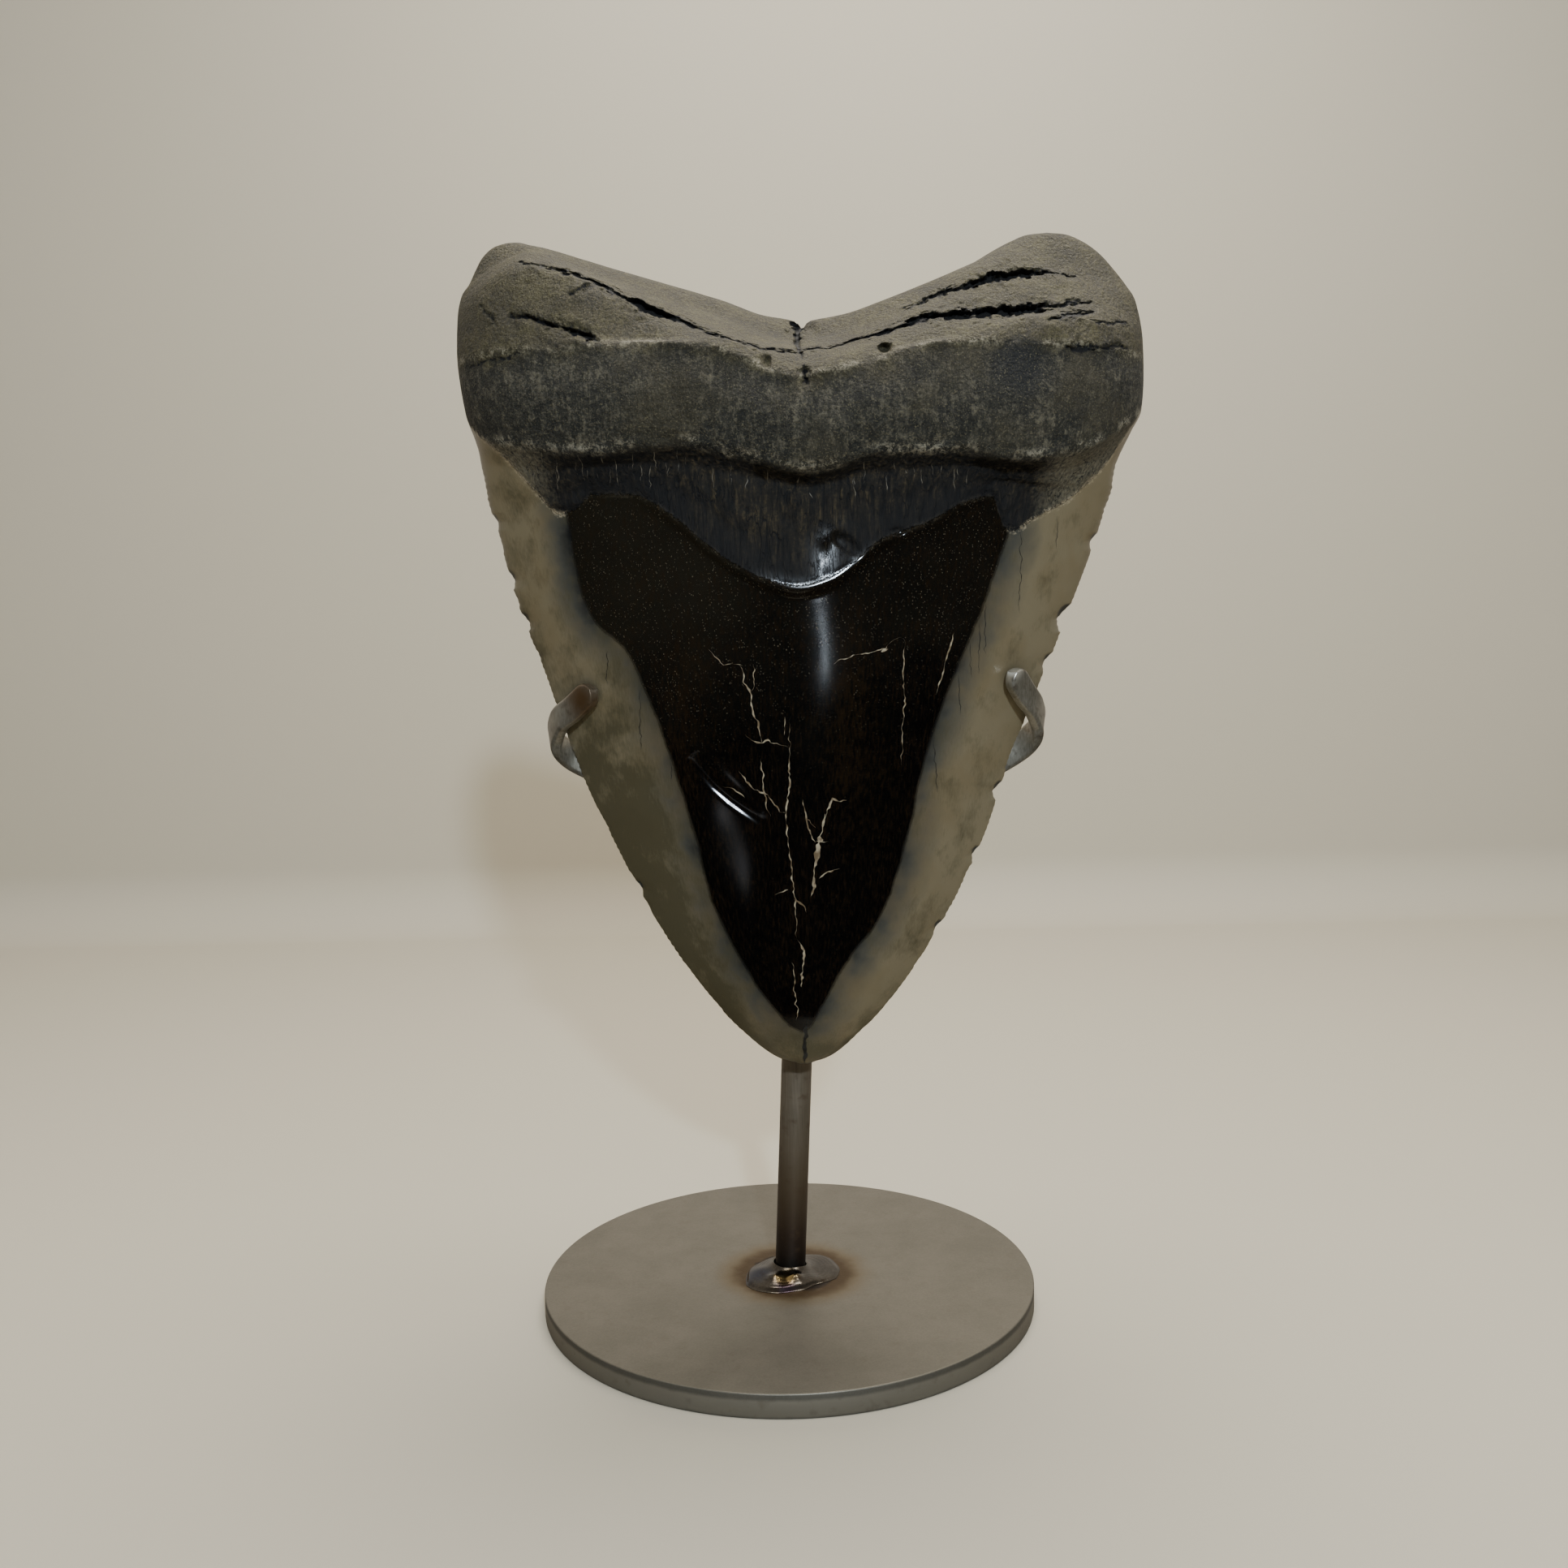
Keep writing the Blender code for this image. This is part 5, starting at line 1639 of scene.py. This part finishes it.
@dataclass
class Post:
    """Drawn round bar that leans a little to the right, blackened at its weld."""

    radius: float = 3.15
    foot_z: float = 5.06
    top_z: float = 118.0
    foot_x: float = 0.2
    plate_top: float = 4.76
    lean_degrees: float = 2.8
    end_round: float = 0.8
    sides: int = 64

    @property
    def lean(self) -> float:
        """How far the post leans for each unit that it rises."""
        return math.tan(math.radians(self.lean_degrees))

    def axis_x(self, z: float) -> float:
        """The axis's x at a height."""
        return self.foot_x + (z - self.plate_top) * self.lean

    def build(self) -> None:
        """Model and dress the post."""
        foot_x = self.axis_x(self.foot_z)
        post = add_cylinder(self.radius, self.sides, self.foot_z, self.top_z, foot_x)
        bpy.ops.object.transform_apply(location=True)
        verts = post.data.vertices
        pick(post, "VERT", [vert.co.z > (self.foot_z + self.top_z) / 2 for vert in verts])
        with editing():
            bpy.ops.mesh.bevel(offset=self.end_round, segments=4, affect="EDGES")
        for vert in post.data.vertices:
            vert.co.x += (vert.co.z - self.foot_z) * self.lean
        heat = OxideAndHighlightTint((0, 0, self.foot_z), (
            (16.0, 38.0, "#5b4d3a"), (7.0, 22.0, "#3c2d20"), (2.0, 12.0, "#221812"),
            (1.0, 5.0, "#0f0c0a")), (0.0, 0.0, 1.0))
        steel = MildSteel("mild_steel_bar_drawn", "#7d7262", "#62594a", "#503e2c", 0.5, 0.46,
                          0.4, (1.0, 1.0, 0.05), (heat,))
        finish_piece(post, "post_drawn", steel.build(), ("post",), 40.0)


@dataclass
class Claws:
    """Two flat bars bent round the edges of the blade, their ends rounded and softened."""

    width: float = 5.0
    thickness: float = 2.4
    corner: float = 0.75
    corner_steps: int = 5
    stations: int = 96
    tip_stations: int = 12
    # The narrowest that a bar's rounded end becomes.
    tip_width: float = 0.2
    # Each bar's centre line, with the way that its outer flat faces there.
    right: tuple[tuple[Route, ...], ...] = (
        ((5.3, -4.65, 101), (0, 1, 0)), ((16, -5.3, 102.6), (0, 1, 0)),
        ((28, -6.3, 106), (0.05, 1, 0)), ((38, -7.6, 110), (0.12, 1, 0)),
        ((44.2, -8.6, 113), (0.3, 1, 0)), ((48.7, -9.5, 116.4), (0.7, 0.8, 0)),
        ((50.6, -11.4, 120), (1, -0.1, -0.2)), ((49.5, -14, 123.2), (0.85, -0.6, 0)),
        ((47.3, -16.4, 126), (0.6, -0.8, 0)), ((44.4, -19.4, 130.4), (0.55, -0.8, 0)),
    )
    left: tuple[tuple[Route, ...], ...] = (
        ((4.5, -4.65, 101), (0, 1, 0)), ((-7.5, -5.3, 102.3), (0, 1, 0)),
        ((-19.5, -6.3, 105.4), (-0.05, 1, 0)), ((-29.5, -7.6, 109), (-0.12, 1, 0)),
        ((-36.2, -8.6, 112.4), (-0.3, 1, 0)), ((-41, -9.5, 115.4), (-0.7, 0.8, 0)),
        ((-43.4, -11.4, 119), (-1, -0.1, -0.2)), ((-42.2, -14.2, 122.4), (-0.85, -0.6, 0)),
        ((-39.1, -16.8, 124.9), (-0.6, -0.8, 0)), ((-34.6, -20.2, 128.7), (-0.55, -0.8, 0)),
    )

    def build(self) -> None:
        """Model and dress both claws."""
        rusty = OxideAndHighlightTint((-37.0, -20.0, 126.5), ((0.5, 7.0, "#6e563b"),))
        # Painted highlight: a near-white patch on the right claw's tip, where the lamps catch its
        # edge.
        painted_tip_highlight = OxideAndHighlightTint((44.0, -21.0, 131.8), ((1.0, 4.5, "#f4efe2"),), wander=1.0)
        for side, route, tint in (("left", self.left, rusty), ("right", self.right, painted_tip_highlight)):
            bar = self.bend(route)
            steel = MildSteel(f"mild_steel_flat_bar_filed_{side}", "#a8a396", "#7b7669",
                              "#4a3826", 0.7, 0.31, 0.7, (1.0, 1.0, 0.3), (tint,))
            finish_piece(bar, f"claw_{side}_filed", steel.build(), (f"claw_{side}",))

    def outline(self, width: float) -> list[tuple[float, float]]:
        """The bar's section as (across, through) points, its corners rounded."""
        corner = min(self.corner, width / 2 * 0.95)
        half_w, half_t = width / 2 - corner, self.thickness / 2 - self.corner
        points = []
        for quarter, (sx, sy) in enumerate(((1, 1), (-1, 1), (-1, -1), (1, -1))):
            for step in range(self.corner_steps + 1):
                angle = (quarter + step / self.corner_steps) * math.pi / 2
                points.append((sx * half_w + corner * math.cos(angle),
                               sy * half_t + self.corner * math.sin(angle)))
        return points

    def bend(self, route: tuple[tuple[Route, ...], ...]) -> Piece:
        """Sweep the bar's section along its route, station by station.

        Args:
            route: Points of the centre line with the way the outer flat faces there.

        Returns:
            The bar.
        """
        places, facings = (np.array(rows, float) for rows in zip(*route))
        along = distance_along(places)
        end_radius = self.width / 2
        end_start = along[-1] - end_radius
        round_off = np.sin(np.linspace(0.15, math.pi / 2 - 0.02, self.tip_stations))
        at = np.concatenate([
            np.linspace(0.0, end_start, self.stations),
            along[-1] - end_radius * (1 - round_off),
        ])
        curve, facing = (
            np.stack([smooth_through(along, table[:, k], at) for k in range(3)], 1)
            for table in (places, facings)
        )
        heading = np.gradient(curve, at, axis=0)
        rings = []
        for place, ahead, outward, station in zip(curve, heading, facing, at):
            ahead = Vector(ahead).normalized()
            outward = Vector(outward)
            outward = (outward - ahead * outward.dot(ahead)).normalized()
            across = ahead.cross(outward)
            past = max(0.0, station - end_start) / end_radius
            width = self.width * math.sqrt(max(0.0, 1 - past * past))
            rings.append([
                Vector(place) + across * side + outward * through
                for side, through in self.outline(max(width, self.tip_width))
            ])
        return self.extrude_rings(rings)

    @staticmethod
    def extrude_rings(rings: list[list[Vector]]) -> Piece:
        """Extrude a filled circle through every ring in turn, which caps both ends."""
        activate()
        bpy.ops.mesh.primitive_circle_add(vertices=len(rings[0]), radius=1, fill_type="NGON")
        bar = bpy.context.object
        with editing("VERT", "SELECT"):
            for index, ring in enumerate(rings):
                if index:
                    bpy.ops.mesh.extrude_region_move()
                mesh = bmesh.from_edit_mesh(bar.data)
                chosen = [vert for vert in mesh.verts if vert.select]
                for vert, place in zip(chosen, ring):
                    vert.co = place
                bmesh.update_edit_mesh(bar.data)
            bpy.ops.mesh.select_all(action="SELECT")
            bpy.ops.mesh.normals_make_consistent(inside=False)
        return bar


@dataclass
class Welds:
    """The puddled weld at the post's foot and the bead behind the claws."""

    post: Post
    centre: tuple[float, float] = (0.6, -1.0)
    # The puddle's rim, anticlockwise from its right.
    rim: Route = (
        (10.5, -0.1), (10.1, 3.3), (8.8, 6.1), (7, 7.8), (4.6, 8.5), (0.6, 7.4), (-3.4, 5.4),
        (-6.2, 3.4), (-8.1, 1), (-9, -1.6), (-9, -4.4), (-8.4, -7), (-7, -8.8), (-4.6, -9.9),
        (-1.1, -10.2), (2.5, -9), (5.1, -6.9), (7.7, -5.2), (9.9, -3.4),
    )
    # How much the rim waves in and out, and how often round it.
    rim_wave: tuple[float, int] = (0.12, 9)
    foot_z: float = 5.06
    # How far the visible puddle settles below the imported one, to meet the plate.
    sunk: float = 0.22
    skirt: float = 0.03
    # How far the puddle stays clear of the post's wall.
    clear: float = 0.3
    sides: int = 144
    rings: int = 44
    # The puddle's height, how high it climbs the post and over what reach.
    body_high: float = 1.25
    climb: tuple[float, float] = (1.0, 1.3)
    # The ripples' height, how many there are and how they crowd towards the rim.
    ripple: Place = (0.009, 6.5, 1.6)
    # Lobes of the puddle: x, y, spread, height.
    lobes: Route = ((-2.9, -6.2, 1.6, 0.9), (1.3, -6.4, 1.5, 1.0), (-5.8, -2.6, 2.4, 0.5))

    def build(self) -> None:
        """Model and dress both welds."""
        straw = OxideAndHighlightTint((-0.6, -6.2, 6.4), ((0.2, 3.4, "#a08a58"),))
        blue = OxideAndHighlightTint((-6.5, -4.0, 5.5), ((1.0, 4.5, "#4a4c55"),))
        violet = OxideAndHighlightTint((-0.5, -9.0, 5.0), ((0.5, 3.0, "#453a44"),))
        metal = MildSteel("weld_metal_rippled", "#625d55", "#393632", "#3a2e22", 0.6, 0.17,
                          1.0, tints=(blue, violet, straw)).build()
        puddle = self.puddle()
        finish_piece(puddle, "base_weld_puddle", metal, ("base_weld",))
        bead = copy_packed("claw_weld")
        finish_piece(bead, "claw_weld_rippled", metal, ("claw_weld",))

    def height_at(self, x: Array, y: Array, reach: Array) -> Array:
        """The puddle's height above its foot.

        Args:
            x: Positions across.
            y: Positions in depth.
            reach: Distance out from the post's wall, as a share of the way to the rim.

        Returns:
            The height at each point.
        """
        from_post = np.hypot(x - self.post.axis_x(self.foot_z), y) - self.post.radius
        thin = 1.0 - 0.65 * smoothstep(0.0, 5.0, x + 0.6 * y)
        body = self.body_high * thin * np.sqrt(np.clip(1 - reach ** 4, 0.0, 1.0))
        climb = self.climb[0] * np.exp(-np.clip(from_post - self.clear, 0, None) / self.climb[1])
        lobes = sum(
            high * np.exp(-((x - lx) ** 2 + (y - ly) ** 2) / spread ** 2)
            for lx, ly, spread, high in self.lobes
        )
        deep, count, crowd = self.ripple
        ripple = deep * np.cos(2 * math.pi * count * reach ** crowd) * smoothstep(0.2, 0.5, reach)
        return (body + climb + lobes) * smoothstep(1.0, 0.88, reach) + ripple

    def rim_at(self, angles: Array) -> tuple[Array, Array]:
        """The rim's x and y at angles about the puddle's centre."""
        arms = np.array(self.rim) - self.centre
        turns = np.unwrap(np.arctan2(arms[:, 1], arms[:, 0]))
        turns = np.concatenate([turns - 2 * math.pi, turns, turns + 2 * math.pi])
        radius = smooth_through(turns, np.tile(np.hypot(*arms.T), 3), angles)
        radius = radius + self.rim_wave[0] * np.sin(self.rim_wave[1] * angles)
        return (self.centre[0] + radius * np.cos(angles),
                self.centre[1] + radius * np.sin(angles))

    def puddle(self) -> Piece:
        """Draw rings from the rim in to the post, and raise them to the puddle's height."""
        inner = self.post.radius + self.clear
        angles = 2 * math.pi * np.arange(self.sides) / self.sides
        rim_x, rim_y = self.rim_at(angles)
        wall_x = self.post.axis_x(self.foot_z) + inner * np.cos(angles)
        wall_y = inner * np.sin(angles)
        foot = self.foot_z - self.sunk
        rings = []
        for reach in np.linspace(1.0, 0.0, self.rings) ** 0.8:
            x = wall_x + (rim_x - wall_x) * reach
            y = wall_y + (rim_y - wall_y) * reach
            z = foot + self.height_at(x, y, np.full_like(x, reach))
            rings.append(np.stack([x, y, z], 1))
        rings.append(np.stack([wall_x, wall_y, np.full_like(wall_x, foot - self.skirt)], 1))
        faces = ring_faces(0, self.sides, len(rings), len(rings))
        return add_solid_mesh("base_weld_puddle", np.concatenate(rings).tolist(), faces)


def copy_packed(node: str) -> Piece:
    """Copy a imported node, in millimetres, and merge its loose triangles."""
    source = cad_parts[node]
    copy = source.copy()
    copy.data = source.data.copy()
    copy.parent = None
    for key in list(copy.keys()):
        del copy[key]
    bpy.context.scene.collection.objects.link(copy)
    activate(copy)
    copy.data.transform(Matrix.Scale(1 / MM, 4))
    with editing(action="SELECT"):
        bpy.ops.mesh.remove_doubles(threshold=0.01)
    return copy


# --- studio --------------------------------------------------------------------------


@dataclass(frozen=True)
class Lamp:
    """A soft round lamp: where it stands, where it aims, its size, watts and colour."""

    name: str
    place: Place
    aim: Place
    size: float
    power: float
    colour: Place


@dataclass
class Studio:
    """Paper floor and backdrop, soft lights and the camera."""

    camera_place: Place = (0.914, -304.9, 140.1)
    pitch_degrees: float = 6.03
    roll_degrees: float = -1.13
    focal_px: float = 1860.0
    image_px: float = 1932.0
    sensor: float = 36.0
    # The camera sees from 10 mm to 10 m.
    clip: tuple[float, float] = (0.01, 10.0)
    wall_y: float = 400.0
    cove: float = 30.0
    reach: float = 2500.0
    paper: str = "#cbc4b2"
    room: str = "#e9dfd0"
    # The way that the room is brightest, and its light in front and behind.
    room_up: Place = (0.0, 0.5, 0.85)
    room_light: tuple[float, float] = (0.008, 0.8)
    # A broad lamp above, a cool one by the camera, and small ones that the crown mirrors.
    lamps: tuple[Lamp, ...] = (
        Lamp("overhead", (60, 60, 640), (0, 60, 0), 420, 4.2, (1.0, 0.95, 0.88)),
        Lamp("spot", (116, -826, 467), (0, 0, 130), 46, 5.6, (0.76, 0.88, 1.0)),
        Lamp("glint", (57, -320, 75), (9, -31, 135), 48, 0.0007, (0.4, 0.6, 1.0)),
        Lamp("glint_core", (57, -320, 76), (9, -31, 135), 6, 0.006, (0.8, 0.9, 1.0)),
        Lamp("window", (-123, -166, 12), (-8.7, -28, 96), 13, 0.0007, (0.95, 0.97, 1.0)),
    )

    def build(self) -> None:
        """Add the floor, the lights, the world and the camera."""
        self.add_backdrop()
        self.add_lights()
        self.add_world()
        self.add_camera()

    def add_backdrop(self) -> None:
        """Add a floor that turns up into a wall behind the object."""
        activate()
        bpy.ops.mesh.primitive_plane_add(size=2 * self.reach * MM)
        paper = bpy.context.object
        paper.name = "backdrop"
        mesh = paper.data
        for vert in mesh.vertices:
            if vert.co.y > 0:
                vert.co.y = self.wall_y * MM
        pick(paper, "EDGE", [
            all(mesh.vertices[v].co.y > 0 for v in edge.vertices) for edge in mesh.edges])
        with editing():
            bpy.ops.mesh.extrude_region_move(
                TRANSFORM_OT_translate={"value": (0, 0, self.reach * MM)}
            )
        ends = [[mesh.vertices[v].co for v in edge.vertices] for edge in mesh.edges]
        pick(paper, "EDGE", [all(c.y > 0 and abs(c.z) < 1e-6 for c in pair) for pair in ends])
        with editing():
            bpy.ops.mesh.bevel(offset=self.cove * MM, segments=16, affect="EDGES")
        bpy.ops.object.shade_smooth()
        paper.data.materials.append(StudioPaper(self.paper).build())
        paper.visible_glossy = False

    def add_lights(self) -> None:
        """Add the lamps, which the camera doesn't see."""
        for lamp in self.lamps:
            place, aim = Vector(lamp.place) * MM, Vector(lamp.aim) * MM
            bpy.ops.object.light_add(type="AREA", location=place)
            light = bpy.context.object
            light.name = lamp.name
            light.data.shape = "DISK"
            light.data.size = lamp.size * MM
            light.data.energy = lamp.power
            light.data.color = lamp.colour
            light.visible_camera = False
            light.rotation_mode = "QUATERNION"
            light.rotation_quaternion = (aim - place).to_track_quat("-Z", "Y")

    def add_world(self) -> None:
        """Light the room from above and behind, and leave it dark in front."""
        world = bpy.data.worlds.new("room")
        bpy.context.scene.world = world
        world.use_nodes = True
        tree = world.node_tree
        back = tree.nodes["Background"]
        way = add_node(tree, "TexCoord", out=0)
        lean = add_node(tree, "VectorMath", {0: way, 1: self.room_up}, out=1,
                        operation="DOT_PRODUCT")
        dark, light = self.room_light
        bright = add_node(tree, "MapRange", {0: lean, 1: -0.25, 2: 0.8, 3: dark, 4: light},
                          interpolation_type="SMOOTHSTEP")
        back.inputs["Color"].default_value = linear(self.room)
        tree.links.new(bright, back.inputs["Strength"])

    def add_camera(self) -> None:
        """Add the camera, level but for a slight roll and a small tilt down."""
        camera_data = bpy.data.cameras.new("camera")
        camera_data.sensor_width = self.sensor
        camera_data.lens = self.focal_px / self.image_px * self.sensor
        camera_data.clip_start, camera_data.clip_end = self.clip
        camera = bpy.data.objects.new("camera", camera_data)
        camera.location = Vector(self.camera_place) * MM
        tilt = Matrix.Rotation(math.radians(90 - self.pitch_degrees), 4, "X")
        roll = Matrix.Rotation(math.radians(self.roll_degrees), 4, "Z")
        camera.rotation_euler = (tilt @ roll).to_euler()
        bpy.context.scene.collection.objects.link(camera)
        bpy.context.scene.camera = camera


def main() -> None:
    """Build every piece."""
    logging.basicConfig(level=logging.INFO, format="%(name)s: %(message)s")
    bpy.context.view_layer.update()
    post = Post()
    for part in (Tooth(), BasePlate(), post, Claws(), Welds(post), Studio()):
        part.build()


if __name__ == "__main__":
    main()
